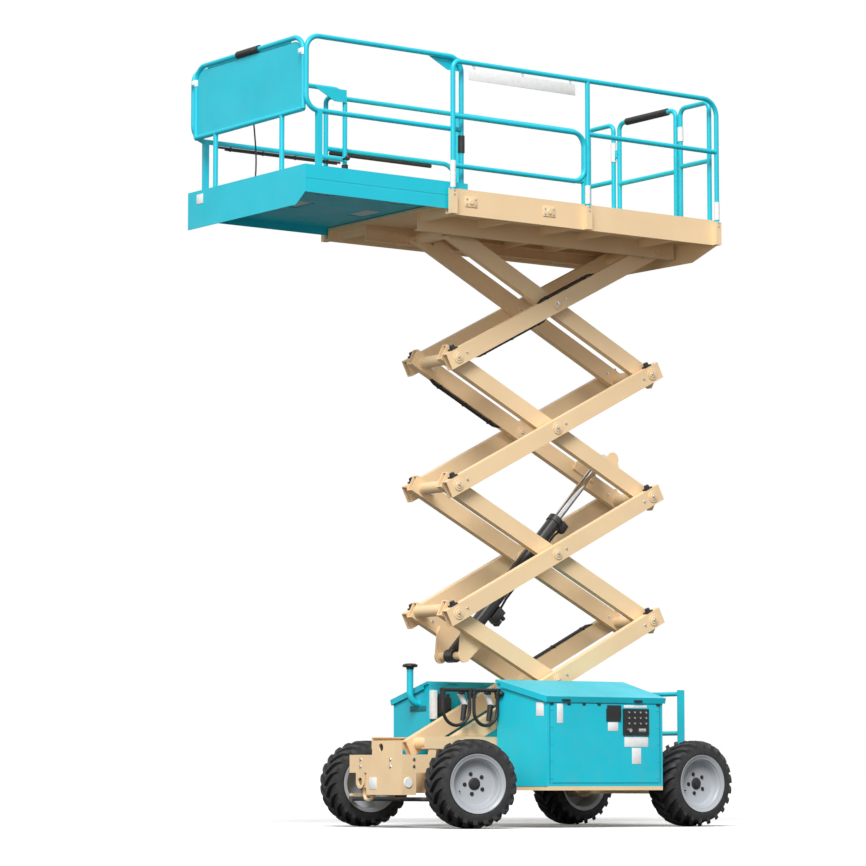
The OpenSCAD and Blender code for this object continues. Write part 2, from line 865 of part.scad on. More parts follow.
// Section of a rim: barrel, outer and inner edges, recessed disc
module rim_section() {
    half = tyre_w / 2;
    for (s = [0, 1]) mirror([s, 0]) {
        translate([0, bead_r - fit - rim_t]) square([half, rim_t]);
        translate([half - rim_t, bead_r - fit - rim_t]) square([rim_t, rim_t + lip_h]);
    }
    translate([half - dish - rim_t, hub_hole_d / 2]) square([rim_t, bead_r - rim_t - hub_hole_d / 2]);
}

// Place of one wheel: near or far side, front wheels turned about their kingpins
module wheel_place(side, front) {
    if (front) {
        translate([-axle_x, side * king_y, 0]) rotate([0, 0, -steer_a])
            translate([0, side * king_in, axle_z]) mirror([0, side > 0 ? 0 : 1, 0]) children();
    } else {
        translate([axle_x, side * track / 2, axle_z]) mirror([0, side > 0 ? 0 : 1, 0]) children();
    }
}

module tyre(side, front) { placed(black) wheel_place(side, front) lugged_tyre(); }
module rim(side, front) { placed(grey) wheel_place(side, front) wheel_turned() rim_section(); }

module near_front_tyre() { tyre(-1, true); }
module far_front_tyre() { tyre(1, true); }
module near_rear_tyre() { tyre(-1, false); }
module far_rear_tyre() { tyre(1, false); }
module near_front_rim() { rim(-1, true); }
module far_front_rim() { rim(1, true); }
module near_rear_rim() { rim(-1, false); }
module far_rear_rim() { rim(1, false); }

// Outline of a hood seen along X, shrunk by its wall for the inside
module hood_outline(t) {
    low_y = hood_in + hood_low_share * (hood_y - hood_in);
    polygon([[hood_y - t, hood_z + t], [hood_y - t, hood_out_z + (t > 0 ? over : 0)],
             [hood_in + t, hood_in_z + (t > 0 ? over : 0)], [hood_in + t, hood_z + hood_rise + t / 2],
             [low_y, hood_z + t]]);
}

// Plan of a hood from its front to its rear, shrunk by t at both ends
module hood_plan(front_out, front_in, t) {
    linear_extrude(2 * hood_in_z) polygon([[front_in + t, hood_in - over], [hood_rear - t, hood_in - over],
        [hood_rear - t, hood_y + over], [front_out + t, hood_y + over]]);
}

// Wedge below a hood's front that leaves room for the steered wheel
module hood_wedge(front, cut, t) {
    translate([0, hood_y + over, 0]) rotate([90, 0, 0]) linear_extrude(hood_y - hood_in + 2 * over) polygon([
        [front - hood_rise, 0], [front + cut + t, 0], [front + cut + t, hood_z],
        [front + t, hood_z + far_cut_h], [front - hood_rise, hood_z + far_cut_h]]);
}

// Solid of a hood, or of its inside at t over 0
module hood_solid(front_out, front_in, cut, t) {
    difference() {
        intersection() {
            x_extruded(front_in, hood_rear) hood_outline(t);
            hood_plan(front_out, front_in, t);
        }
        if (cut > 0) hood_wedge(front_in, cut, t);
    }
}

// Sheet shell of the hood at +Y, open under its lid
module hood_shell(front_out, front_in, cut) {
    difference() {
        hood_solid(front_out, front_in, cut, 0);
        hood_solid(front_out, front_in, cut, hood_t);
    }
}

// Pale tray under a hood at +Y, along its lower outline
module hood_tray(front_out, front_in) {
    low_y = hood_in + hood_low_share * (hood_y - hood_in);
    intersection() {
        x_extruded(front_in, hood_rear) polygon([
            [hood_y, hood_z], [low_y, hood_z], [hood_in, hood_z + hood_rise],
            [hood_in, hood_z + hood_rise - tray_h], [low_y, hood_z - tray_h], [hood_y, hood_z - tray_h]]);
        hood_plan(front_out + tray_in, front_in + tray_in, 0);
    }
}

module hood_trays() {
    placed(cream) {
        mirror([0, 1, 0]) hood_tray(near_front_out, near_front_in);
        hood_tray(far_front_out + far_front_cut, far_front_in + far_front_cut);
    }
}

// Extrudes a drawing in Y and Z along X
module x_extruded(x0, x1) {
    translate([x0, 0, 0]) rotate([90, 0, 90]) linear_extrude(x1 - x0) children();
}

module near_hood() { placed(turquoise) mirror([0, 1, 0]) hood_shell(near_front_out, near_front_in, 0); }
module far_hood() { placed(turquoise) hood_shell(far_front_out, far_front_in, far_front_cut); }

// Bolted panel on the outer face of the hood at +Y
module side_panel(front) {
    block([front + panel_edge, hood_y, hood_z + panel_low],
          [hood_rear - panel_edge, hood_y + panel_t, hood_z + panel_low + panel_h]);
}

module near_side_panel() { placed(turquoise) mirror([0, 1, 0]) side_panel(near_front_out); }
module far_side_panel() { placed(turquoise) side_panel(far_front_out + far_front_cut); }

// Sloped lid of the hood at +Y, hinged along its inner edge, with its edges folded down
module lid(front_out, front_in) {
    l = (hood_y - hood_in) / cos(hood_slope) + lid_over;
    for (share = lid_barrel_shares) {
        x = front_out + share * (hood_rear - front_out) - lid_barrel_l / 2;
        translate([x, lid_axis_y, lid_axis_z]) rotate([0, 90, 0])
            cylinder(d = lid_barrel_d, h = lid_barrel_l);
    }
    translate([0, hood_in, hood_in_z + fit]) rotate([-hood_slope, 0, 0]) {
        linear_extrude(lid_t) lid_plan(front_out, front_in, l, lid_over);
        translate([0, 0, -lid_fold]) linear_extrude(lid_fold + over) difference() {
            lid_plan(front_out, front_in, l, lid_over);
            translate([0, -over]) lid_plan(front_out, front_in, l + over - lid_edge, lid_over - lid_edge);
            square([2 * deck_l, 2 * lid_keep], center = true);
        }
    }
}

// Outline of a lid in its own plane, past the hood's ends by a margin
module lid_plan(front_out, front_in, l, margin) {
    polygon([[front_in - margin, 0], [hood_rear + margin, 0],
             [hood_rear + margin, l], [front_out - margin, l]]);
}

module near_lid() { placed(turquoise) mirror([0, 1, 0]) lid(near_front_out, near_front_in); }
module far_lid() { placed(turquoise) lid(far_front_out, far_front_in); }

// Black plate on the near hood's side panel
module control_plate(x, z, w, h, d) {
    y = hood_y + panel_t;
    block([x, y, z], [x + w, y + d, z + h]);
}

module ground_controls() {
    placed(black) mirror([0, 1, 0]) {
        control_plate(hood_rear - controls_back, controls_z, controls_w, controls_h, controls_d);
        control_plate(hood_rear - vent_back, vent_z, vent_w, vent_h, vent_d);
    }
}

module engine_block() {
    x0 = far_front_in + engine_back;
    placed(black) block([x0, bay_in, hood_z + hood_t], [x0 + engine_l, bay_out, hood_z + hood_t + engine_h]);
}

module hydraulic_tank() {
    x0 = near_front_out + hood_t + bay_gap;
    placed(black) mirror([0, 1, 0])
        block([x0, bay_in, hood_z + hood_t], [x0 + tank_l, bay_out, hood_z + hood_t + tank_h]);
}

// Place of a hood's front face at a distance y from the machine's middle
function front_at(front_out, front_in, y) =
    front_in + (front_out - front_in) * (y - hood_in) / (hood_y - hood_in);
function far_front_at(y) = front_at(far_front_out, far_front_in, y);

module filler_neck() {
    z0 = hood_out_z - neck_drop;
    x = far_front_at(neck_y);
    placed(turquoise) difference() {
        bent_tube([[x + neck_foot, neck_y, z0], [x - neck_bend, neck_y, z0],
                   [x - neck_bend, neck_y, neck_top_z]], neck_bend, neck_d);
        hood_solid(far_front_out, far_front_in, far_front_cut, 0);
    }
}

module filler_cap() {
    placed(black) translate([far_front_at(neck_y) - neck_bend, neck_y, neck_top_z])
        cylinder(d = neck_cap_d, h = neck_cap_h);
}

module front_hoses() {
    low = hose_top_z - hose_drop;
    placed(black) mirror([0, 1, 0]) {
        difference() {
            bar([hose_end_x, hose_y, hose_top_z],
                [front_at(near_front_out, near_front_in, hose_y) + hose_foot, hose_y, hose_top_z], hose_bar_d);
            hood_solid(near_front_out, near_front_in, 0, 0);
        }
        for (i = [0, 1]) {
            ends = [hose_fronts[i], hose_fronts[i] + hose_spans[i]];
            bent_tube([[ends[0], hose_y, hose_top_z], [ends[0], hose_y, low],
                       [ends[1], hose_y, low], [ends[1], hose_y, hose_top_z]], hose_spans[i] / 2 - fit, hose_d);
            for (x = ends) translate([x, hose_y, hose_top_z - fitting_l])
                cylinder(d = fitting_d, h = fitting_l + hose_bar_d / 2);
        }
    }
}

module rear_ladder() {
    half = ladder_w / 2;
    placed(turquoise) {
        for (s = [0, 1]) mirror([0, s, 0])
            block([ladder_x, half - stringer_t, ladder_low_z], [ladder_x + stringer_w, half, ladder_top_z]);
        for (i = [0:rungs - 1])
            y_rod(ladder_x + stringer_w / 2, ladder_top_z - rung_drop - i * rung_gap, -half, half, rung_d);
    }
}

module platform_deck() {
    placed(cream) {
        block([deck_front, -guide_in, floor_under], [deck_rear, guide_in, floor_z]);
        both_sides() {
            block([deck_front, guide_in - guide_t, guide_floor_z], [deck_rear, guide_in, floor_z]);
            block([deck_front, guide_in - guide_t, guide_floor_z - guide_t],
                  [deck_rear, deck_y, guide_floor_z]);
            block([deck_front, deck_y - toe_t, toe_z], [deck_rear, deck_y, toe_z + toe_h]);
            difference() {
                union() {
                    slide_channel(deck_front + member_w, deck_rear - member_w, top_z);
                    block([deck_front + member_w, slide_out + fit, top_z],
                          [deck_rear - member_w, slide_out + fit + track_t, floor_under + over]);
                    y_rod(pin_x, top_z, slide_out + fit, slide_out + fit + 2 * track_t, boss_d);
                }
                y_rod(pin_x, top_z, slide_in, slide_out + 4 * track_t, pin_d + 2 * pin_fit);
            }
            for (x = [post_front_x, mid_post_x, post_rear_x]) rail_socket(x);
        }
        for (share = member_shares) {
            x = deck_front + share * (deck_l - member_w);
            both_sides() block([x, slide_out + track_t, floor_under - member_h],
                               [x + member_w, guide_in, floor_under + over]);
        }
        for (share = centre_member_shares) {
            x = (pin_x + pin_front_x) / 2 + share * (pin_x - pin_front_x) - member_w / 2;
            block([x, -slide_out - track_t, floor_under - member_h],
                  [x + member_w, slide_out + track_t, floor_under + over]);
        }
        difference() {
            x_extruded(deck_rear - toe_t, deck_rear) polygon([
                [-deck_y, toe_z], [-deck_y + rear_chamfer, toe_z - rear_drop],
                [deck_y - rear_chamfer, toe_z - rear_drop], [deck_y, toe_z],
                [deck_y, toe_z + toe_h], [-deck_y, toe_z + toe_h]]);
            block([deck_rear - 2 * toe_t, gate_free_y - rail_d, floor_z],
                  [deck_rear + over, gate_hinge_y, toe_z + toe_h + over]);
        }
    }
}

// Socket for a guard rail post outside the toe board at +Y
module rail_socket(x) {
    difference() {
        block([x - socket_w / 2, deck_y, toe_z],
              [x + socket_w / 2, post_y + rail_d / 2 + post_gap, toe_z + socket_h]);
        translate([x, post_y, toe_z + socket_base]) cylinder(d = rail_d + 2 * fit, h = socket_h);
    }
}

// Side guard rail at +Y
module side_rail() {
    y = post_y;
    foot = toe_z + socket_base;
    loop_x = mid_post_x - loop_gap;
    bent_tube([[post_front_x, y, foot], [post_front_x, y, rail_z], [mid_post_x, y, rail_z]],
              rail_bend, rail_d);
    bent_tube([[mid_post_x, y, rail_z], [post_rear_x, y, rail_z], [post_rear_x, y, foot]],
              rear_bend, rail_d);
    bar([mid_post_x, y, foot], [mid_post_x, y, rail_z], rail_d);
    bent_tube([[post_front_x, y, mid_rail_z], [loop_x, y, mid_rail_z],
               [loop_x, y, low_rail_z], [post_front_x, y, low_rail_z]], loop_bend, rail_d);
    bar([mid_post_x, y, mid_rail_z], [post_rear_x, y, mid_rail_z], rail_d);
}

module near_guardrail() { placed(turquoise) mirror([0, 1, 0]) side_rail(); }
module far_guardrail() { placed(turquoise) side_rail(); }

// Fixed hoop of the rear end between two posts
module rear_hoop(y0, y1) {
    bent_tube([[rear_x, y0, floor_z], [rear_x, y0, rail_z],
               [rear_x, y1, rail_z], [rear_x, y1, floor_z]], rail_bend, rail_d);
    bar([rear_x, y0, floor_z + section_mid_h], [rear_x, y1, floor_z + section_mid_h], rail_d);
}

// Heights of the gate's two hinges
function hinge_z(share) =
    floor_z + gate_foot_h + share * (rail_h - gate_foot_h - hinge_l) - hinge_l / 2;

module rear_guardrail() {
    far_y = gate_hinge_y + hinge_reach;
    placed(turquoise) {
        rear_hoop(-rear_post_y, section_near_y);
        rear_hoop(far_y, rear_post_y);
        for (share = hinge_shares) {
            z = hinge_z(share);
            block([rear_x - hinge_plate / 2, gate_hinge_y, z - hinge_plate],
                  [rear_x + hinge_plate / 2, far_y, z - fit]);
            translate([rear_x, gate_hinge_y, z - hinge_plate])
                cylinder(d = hinge_pin_d, h = hinge_plate + hinge_l);
        }
    }
}

module entry_gate() {
    y1 = gate_hinge_y - hinge_reach;
    z0 = floor_z + gate_foot_h;
    placed(turquoise) {
        bent_tube([[rear_x, gate_free_y, z0], [rear_x, gate_free_y, rail_z],
                   [rear_x, y1, rail_z], [rear_x, y1, z0]], rail_bend, rail_d);
        bar([rear_x, gate_free_y, floor_z + gate_mid_h], [rear_x, y1, floor_z + gate_mid_h], rail_d);
        bar([rear_x, gate_free_y, z0 + rail_d / 2], [rear_x, y1, z0 + rail_d / 2], rail_d);
        for (share = hinge_shares) {
            z = hinge_z(share);
            difference() {
                union() {
                    translate([rear_x, gate_hinge_y, z]) cylinder(d = hinge_sleeve_d, h = hinge_l);
                    block([rear_x - hinge_plate / 2, y1, z],
                          [rear_x + hinge_plate / 2, gate_hinge_y, z + hinge_l]);
                }
                translate([rear_x, gate_hinge_y, z - over])
                    cylinder(d = hinge_pin_d + 2 * pin_fit, h = hinge_l + 2 * over);
            }
        }
    }
}

// Foam sleeve on a rail along Y
module rail_grip(x, y, z, l) {
    difference() {
        y_rod(x, z, y - l / 2, y + l / 2, grip_d);
        y_rod(x, z, y - l, y + l, rail_d + 2 * fit);
    }
}

module gate_grip() {
    placed(black) rail_grip(rear_x, (gate_free_y + gate_hinge_y - hinge_reach) / 2, rail_z, gate_grip_l);
}

module rail_cable() {
    z = mid_rail_z - rail_d / 2 - cable_d / 2;
    placed(black) bar([post_front_x + rail_d, post_y, z], [mid_post_x - cable_back, post_y, z], cable_d);
}

module extension_deck() {
    inner = ext_y - ext_t;
    pan_l = ext_back - ext_front;
    cut_l = cutout_shares[0] * pan_l;
    cut_w = cutout_shares[1] * 2 * inner;
    placed(turquoise) {
        difference() {
            block([ext_front, -inner, ext_z], [ext_back, inner, ext_pan_top]);
            for (share = cutout_place_shares) {
                x = ext_front + share[0] * pan_l - cut_l / 2;
                y = share[1] * inner - cut_w / 2;
                block([x, y, ext_z - over], [x + cut_l, y + cut_w, ext_pan_top + over]);
            }
        }
        both_sides() difference() {
            block([ext_front, inner, ext_toe_z], [ext_back, ext_y, ext_toe_z + ext_toe_h]);
            block([ext_front - over, ext_y - ext_t / 3, ext_toe_z + ext_groove_shares[0] * ext_toe_h],
                  [ext_back + over, ext_y + over, ext_toe_z + ext_groove_shares[1] * ext_toe_h]);
        }
        both_sides() block([ext_back - 2 * ext_skid_w, inner, guide_floor_z + fit],
                           [ext_back, ext_y, ext_toe_z + over]);
        x_extruded(ext_front, ext_front + ext_t) polygon([
            [-ext_y, ext_toe_z], [-ext_y + ext_front_chamfer, ext_toe_z - ext_front_drop],
            [ext_y, ext_toe_z - ext_front_drop], [ext_y, ext_toe_z + ext_toe_h], [-ext_y, ext_toe_z + ext_toe_h]]);
    }
}

module extension_floor() {
    inner = ext_y - ext_t - fit;
    placed(grey) block([ext_front + ext_t + fit, -inner, ext_pan_top], [ext_back, inner, ext_foot_z]);
}

// Extension's side rail at +Y, with the plate that guides it along the main rail
module extension_rail() {
    y = ext_rail_y;
    half = ext_post_w / 2;
    bent_tube([[ext_rear_post_x, y, ext_mid_z], [ext_rail_x, y, ext_mid_z], [ext_rail_x, y, ext_rail_z],
               [ext_rear_post_x, y, ext_rail_z], [ext_rear_post_x, y, ext_foot_z]], rail_turn_r, rail_d);
    block([ext_post_x - half, y - half, ext_foot_z], [ext_post_x + half, y + half, ext_mid_z]);
    translate([ext_rear_post_x, y - rail_d / 2 + over, ext_rail_z]) rotate([90, 0, 0])
        linear_extrude(guide_plate_t) polygon([
            [0, 0], [0, -guide_plate_h],
            [-guide_tip_share * guide_plate_l, -guide_plate_h], [-guide_plate_l, 0]]);
}

module near_extension_rail() { placed(turquoise) mirror([0, 1, 0]) extension_rail(); }
module far_extension_rail() { placed(turquoise) extension_rail(); }

module front_hoop() {
    x = ext_rail_x;
    placed(turquoise) {
        bent_tube([[x, -hoop_y, hoop_low_z], [x, -hoop_y, ext_rail_z],
                   [x, hoop_y, ext_rail_z], [x, hoop_y, hoop_low_z]], hoop_bend, rail_d);
        bar([x, -hoop_y, hoop_low_z], [x, hoop_y, hoop_low_z], rail_d);
        for (s = [-1, 1]) bar([x, s * hoop_post_y, ext_foot_z], [x, s * hoop_post_y, hoop_low_z], rail_d);
    }
}

module front_sheet() {
    half = hoop_y - rail_d / 2 - fit;
    low = hoop_low_z + rail_d / 2 + fit;
    high = ext_rail_z - grip_d / 2 - fit;
    r = hoop_bend - rail_d / 2;
    placed(turquoise) x_extruded(ext_rail_x - sheet_t / 2, ext_rail_x + sheet_t / 2) {
        translate([-half, low]) square([2 * half, high - low - r]);
        translate([-half + r, low]) square([2 * half - 2 * r, high - low]);
        for (s = [-1, 1]) translate([s * (half - r), high - r]) circle(r = r);
    }
}

module hoop_grip() { placed(black) rail_grip(ext_rail_x, hoop_grip_y, ext_rail_z, hoop_grip_l); }

module platform_controls() {
    x0 = ext_rail_x + rail_d / 2 + console_arm;
    z1 = ext_rail_z - rail_d;
    z0 = z1 - console_h;
    placed(black) {
        block([x0, console_y - console_w / 2, z0], [x0 + console_d, console_y + console_w / 2, z1]);
        block([ext_rail_x + sheet_t / 2, console_y - console_arm, z0],
              [x0, console_y + console_arm, z1 - console_h / 2]);
    }
}

module push_handles() {
    placed(black) both_sides() translate([ext_rear_post_x, ext_rail_y, handle_grip_z]) difference() {
        cylinder(d = handle_grip_d, h = handle_grip_h);
        translate([0, 0, -over]) cylinder(d = rail_d + 2 * fit, h = handle_grip_h + 2 * over);
    }
}

chassis_frame();
front_axle();
rear_axle();
slide_tracks();
hood_trays();
near_hood();
far_hood();
near_side_panel();
far_side_panel();
near_lid();
far_lid();
ground_controls();
engine_block();
hydraulic_tank();
filler_neck();
filler_cap();
front_hoses();
rear_ladder();
near_knuckle();
far_knuckle();
tie_rod();
near_front_tyre();
far_front_tyre();
near_rear_tyre();
far_rear_tyre();
near_front_rim();
far_front_rim();
near_rear_rim();
far_rear_rim();
inner_arms_1();
inner_arms_2();
inner_arms_3();
inner_arms_4();
outer_arms_1();
outer_arms_2();
outer_arms_3();
outer_arms_4();
lift_barrel();
lift_rod();
platform_deck();
near_guardrail();
far_guardrail();
rear_guardrail();
rail_cable();
entry_gate();
gate_grip();
extension_deck();
extension_floor();
near_extension_rail();
far_extension_rail();
front_hoop();
front_sheet();
hoop_grip();
platform_controls();
push_handles();
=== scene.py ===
"""Looks of a scissor lift: its finishes, tyres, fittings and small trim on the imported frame."""
import json
import math

import bmesh
import bpy
from bpy.props import FloatProperty, FloatVectorProperty, IntProperty, PointerProperty
from mathutils import Matrix, Vector


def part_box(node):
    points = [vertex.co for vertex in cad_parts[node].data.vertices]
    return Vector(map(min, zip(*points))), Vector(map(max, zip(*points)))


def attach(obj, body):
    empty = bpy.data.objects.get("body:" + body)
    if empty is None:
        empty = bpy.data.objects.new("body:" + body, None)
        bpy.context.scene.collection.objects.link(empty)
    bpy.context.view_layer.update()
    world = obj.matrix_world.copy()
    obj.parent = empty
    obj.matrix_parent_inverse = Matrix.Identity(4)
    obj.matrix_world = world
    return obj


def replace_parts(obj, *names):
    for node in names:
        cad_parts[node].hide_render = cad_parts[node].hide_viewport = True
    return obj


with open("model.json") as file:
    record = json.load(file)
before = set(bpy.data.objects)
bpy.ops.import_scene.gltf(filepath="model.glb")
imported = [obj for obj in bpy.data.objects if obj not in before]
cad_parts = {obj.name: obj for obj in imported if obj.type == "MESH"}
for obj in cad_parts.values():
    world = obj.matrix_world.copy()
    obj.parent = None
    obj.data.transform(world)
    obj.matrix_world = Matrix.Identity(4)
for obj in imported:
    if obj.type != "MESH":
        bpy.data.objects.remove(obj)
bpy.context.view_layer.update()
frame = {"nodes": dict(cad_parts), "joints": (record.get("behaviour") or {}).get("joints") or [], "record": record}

bl_info = {
    "name": "Scissor Lift Looks",
    "version": (1, 0, 0),
    "blender": (4, 5, 0),
    "location": "View3D > Sidebar > Lift",
    "description": "Dresses the packed scissor lift with its finishes, tyres and small trim",
    "category": "Object",
}

WHEELS = ("near_front", "far_front", "near_rear", "far_rear")
STAGES = (1, 2, 3, 4)


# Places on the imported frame

def node_middle(name):
    """Middle of a node's box."""
    low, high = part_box(name)
    return (low + high) / 2


AXLE_MID = sum(node_middle(wheel + "_tyre").x for wheel in WHEELS) / len(WHEELS)
JOINTS = {joint["name"]: joint for joint in frame["joints"]}


def place(x, y, z):
    """A point given from the middle of the wheelbase, on the ground."""
    return Vector((x + AXLE_MID, y, z))


def wheel_frame(wheel):
    """Frame of a wheel at its middle, with Y outwards along its axle."""
    joint = JOINTS[wheel + "_spin"]
    middle = Vector(joint["pos_m"])
    out = Vector(joint["axis"]).normalized()
    if out.y * middle.y < 0:
        out = -out
    up = Vector((0, 0, 1))
    side = out.cross(up).normalized()
    turn = Matrix((side, out, up)).transposed()
    return Matrix.Translation(middle) @ turn.to_4x4()


# Sizes and colours that a user can change

def colour(name, words, value):
    return FloatVectorProperty(name=name, description=words, default=value, subtype="COLOR", min=0.0, max=1.0)


def length(name, words, value):
    return FloatProperty(name=name, description=words, default=value, unit="LENGTH", min=0.0)


def angle(name, words, value):
    return FloatProperty(name=name, description=words, default=value, subtype="ANGLE")


def amount(name, words, value):
    return FloatProperty(name=name, description=words, default=value, min=0.0)


class LiftFinish(bpy.types.PropertyGroup):
    """Colours of the machine's finishes"""

    turquoise: colour("Turquoise", "Paint of the hoods, the rails and the extension", (0.004, 0.550, 0.690))
    cream: colour("Cream", "Satin paint of the arms, the chassis and the main deck", (0.890, 0.650, 0.385))
    tyre: colour("Tyre", "Rubber of the tyres", (0.018, 0.018, 0.019))
    rim: colour("Rim", "Paint of the wheel rims", (0.400, 0.425, 0.455))
    plastic: colour("Plastic", "Moulded black of caps, boxes and pads", (0.016, 0.016, 0.018))
    hose: colour("Hose", "Rubber of hoses and grips", (0.013, 0.013, 0.014))
    label: colour("Label", "White of the blank labels and sleeves", (0.860, 0.870, 0.860))
    tread: colour("Tread", "Grey of the extension's walking surface", (0.720, 0.740, 0.740))
    zinc: colour("Zinc", "Plated steel of bolts and clips", (0.600, 0.600, 0.580))


class LiftTrim(bpy.types.PropertyGroup):
    """Sizes of the added pieces"""

    lug_count: IntProperty(name="Lugs", description="Tread lugs on each half of a tyre", default=22,
                           min=8, max=40)
    lug_height: length("Lug height", "Height of a lug over the tyre's carcass", 0.026)
    lug_lean: angle("Lug lean", "Turn of a lug from the middle of the tread to the shoulder", 0.36)
    label_t: length("Label", "Thickness of a label or plate", 0.002)


class LiftView(bpy.types.PropertyGroup):
    """Camera and light"""

    eye: FloatVectorProperty(name="Eye", description="Place of the camera from the middle of the wheelbase",
                             default=(-16.308, -21.122, 0.382), subtype="TRANSLATION")
    yaw: angle("Yaw", "Turn of the camera from +Y to +X", math.radians(36.134))
    pitch: angle("Pitch", "Tilt of the camera upwards", math.radians(5.716))
    lens: amount("Lens", "Focal length on a 36 mm frame, in millimetres", 142.74)
    sky: amount("Sky", "Strength of the even light from all sides", 0.47)
    key: amount("Key", "Strength of the main lamp", 3.1)
    floor_glow: amount("Floor glow", "Light that the floor adds for the camera alone", 0.03)
    floor_bounce: amount("Floor bounce", "Share of its light that the floor throws back", 0.13)


def finish():
    return bpy.context.scene.lift_finish


def trim():
    return bpy.context.scene.lift_trim


# Meshes

def keep(bm, name, material, body, smooth=35.0):
    """Makes a piece of a bmesh, with its place in its mesh, and lets it ride on a body."""
    mesh = bpy.data.meshes.new(name)
    bmesh.ops.remove_doubles(bm, verts=bm.verts, dist=1e-6)
    bmesh.ops.recalc_face_normals(bm, faces=bm.faces)
    bm.to_mesh(mesh)
    bm.free()
    mesh.shade_smooth()
    mesh.set_sharp_from_angle(angle=math.radians(smooth))
    piece = bpy.data.objects.new(name, mesh)
    mesh.materials.append(material)
    bpy.context.scene.collection.objects.link(piece)
    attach(piece, body)
    return piece


def add_box(bm, low, high, edge=0.0):
    """Box between two corners, with its edges broken."""
    low, high = Vector(low), Vector(high)
    matrix = Matrix.Translation((low + high) / 2) @ Matrix.Diagonal((*(high - low), 1.0))
    made = bmesh.ops.create_cube(bm, size=1.0, matrix=matrix)
    if edge > 0:
        edges = list({e for v in made["verts"] for e in v.link_edges})
        bmesh.ops.bevel(bm, geom=edges, offset=edge, offset_type="OFFSET", affect="EDGES",
                        segments=2, profile=0.5, material=-1)


def turn_to(direction):
    """Rotation that takes +Z to a direction."""
    return Vector((0, 0, 1)).rotation_difference(Vector(direction)).to_matrix().to_4x4()


def add_rod(bm, start, end, radius, steps=20, end_radius=None):
    """Round bar or cone between two points."""
    start, end = Vector(start), Vector(end)
    way = end - start
    matrix = Matrix.Translation((start + end) / 2) @ turn_to(way)
    bmesh.ops.create_cone(bm, cap_ends=True, segments=steps, radius1=radius,
                          radius2=radius if end_radius is None else end_radius,
                          depth=way.length, matrix=matrix)


def add_turned(bm, profile, steps):
    """Closed profile of (radius, along) points turned about the Y axis."""
    verts = [bm.verts.new((radius, along, 0.0)) for radius, along in profile]
    edges = [bm.edges.new((verts[i], verts[(i + 1) % len(verts)])) for i in range(len(verts))]
    bmesh.ops.spin(bm, geom=verts + edges, cent=(0, 0, 0), axis=(0, 1, 0), dvec=(0, 0, 0),
                   angle=math.tau, steps=steps, use_merge=True, use_duplicate=False)


def add_bolt(bm, at, out, width):
    """Hexagon bolt head on a washer, standing on a surface."""
    at, out = Vector(at), Vector(out).normalized()
    add_rod(bm, at - out * width * 0.1, at + out * width * 0.12, width * 0.72, steps=16)
    add_rod(bm, at + out * width * 0.1, at + out * width * 0.5, width * 0.5, steps=6)


# Materials

# Span of a noise pattern that holds most of its values
MIDDLE = (0.3, 0.7)

def new_shader(name):
    material = bpy.data.materials.new(name)
    material.use_nodes = True
    tree = material.node_tree
    return material, tree, tree.nodes["Principled BSDF"]


def node(tree, kind, **values):
    made = tree.nodes.new(kind)
    for key, value in values.items():
        setattr(made, key, value)
    return made


def noise(tree, scale, detail=4.0, rough=0.55, stretch=(1, 1, 1)):
    """Noise on Object coordinates."""
    coords = node(tree, "ShaderNodeTexCoord")
    mapping = node(tree, "ShaderNodeMapping")
    mapping.inputs["Scale"].default_value = stretch
    tree.links.new(coords.outputs["Object"], mapping.inputs["Vector"])
    made = node(tree, "ShaderNodeTexNoise")
    made.inputs["Scale"].default_value = scale
    made.inputs["Detail"].default_value = detail
    made.inputs["Roughness"].default_value = rough
    tree.links.new(mapping.outputs["Vector"], made.inputs["Vector"])
    return made.outputs["Fac"]


def ramp(tree, source, stops):
    """Colour ramp over a value, by (place, colour) stops."""
    made = node(tree, "ShaderNodeValToRGB")
    elements = made.color_ramp.elements
    while len(elements) < len(stops):
        elements.new(0.5)
    for element, (at, shade) in zip(elements, stops):
        element.position = at
        element.color = (*shade, 1.0)
    tree.links.new(source, made.inputs["Fac"])
    return made.outputs["Color"]


def spread(tree, source, low, high, new_low, new_high):
    """Maps a value from one span to another, held at its ends."""
    made = node(tree, "ShaderNodeMapRange", clamp=True)
    tree.links.new(source, made.inputs["Value"])
    for name, value in zip(("From Min", "From Max", "To Min", "To Max"), (low, high, new_low, new_high)):
        made.inputs[name].default_value = value
    return made.outputs["Result"]


def product(tree, a, b):
    made = node(tree, "ShaderNodeMath", operation="MULTIPLY")
    tree.links.new(a, made.inputs[0])
    tree.links.new(b, made.inputs[1])
    return made.outputs[0]


def blended(tree, factor, a, b):
    """Mix of two colours; each is a socket or a plain colour."""
    made = node(tree, "ShaderNodeMix", data_type="RGBA")
    tree.links.new(factor, made.inputs["Factor"])
    for socket, value in ((made.inputs[6], a), (made.inputs[7], b)):
        if isinstance(value, bpy.types.NodeSocket):
            tree.links.new(value, socket)
        else:
            socket.default_value = (*value, 1.0)
    return made.outputs[2]


def bumped(tree, shader, height, strength, distance):
    made = node(tree, "ShaderNodeBump")
    made.inputs["Strength"].default_value = strength
    made.inputs["Distance"].default_value = distance
    tree.links.new(height, made.inputs["Height"])
    tree.links.new(made.outputs["Normal"], shader.inputs["Normal"])


def roughened(tree, shader, source, low, high):
    """Roughness that follows the middle span of a pattern."""
    tree.links.new(spread(tree, source, *MIDDLE, low, high), shader.inputs["Roughness"])


def shades(value, *factors):
    return [tuple(min(1.0, c * f) for c in value) for f in factors]


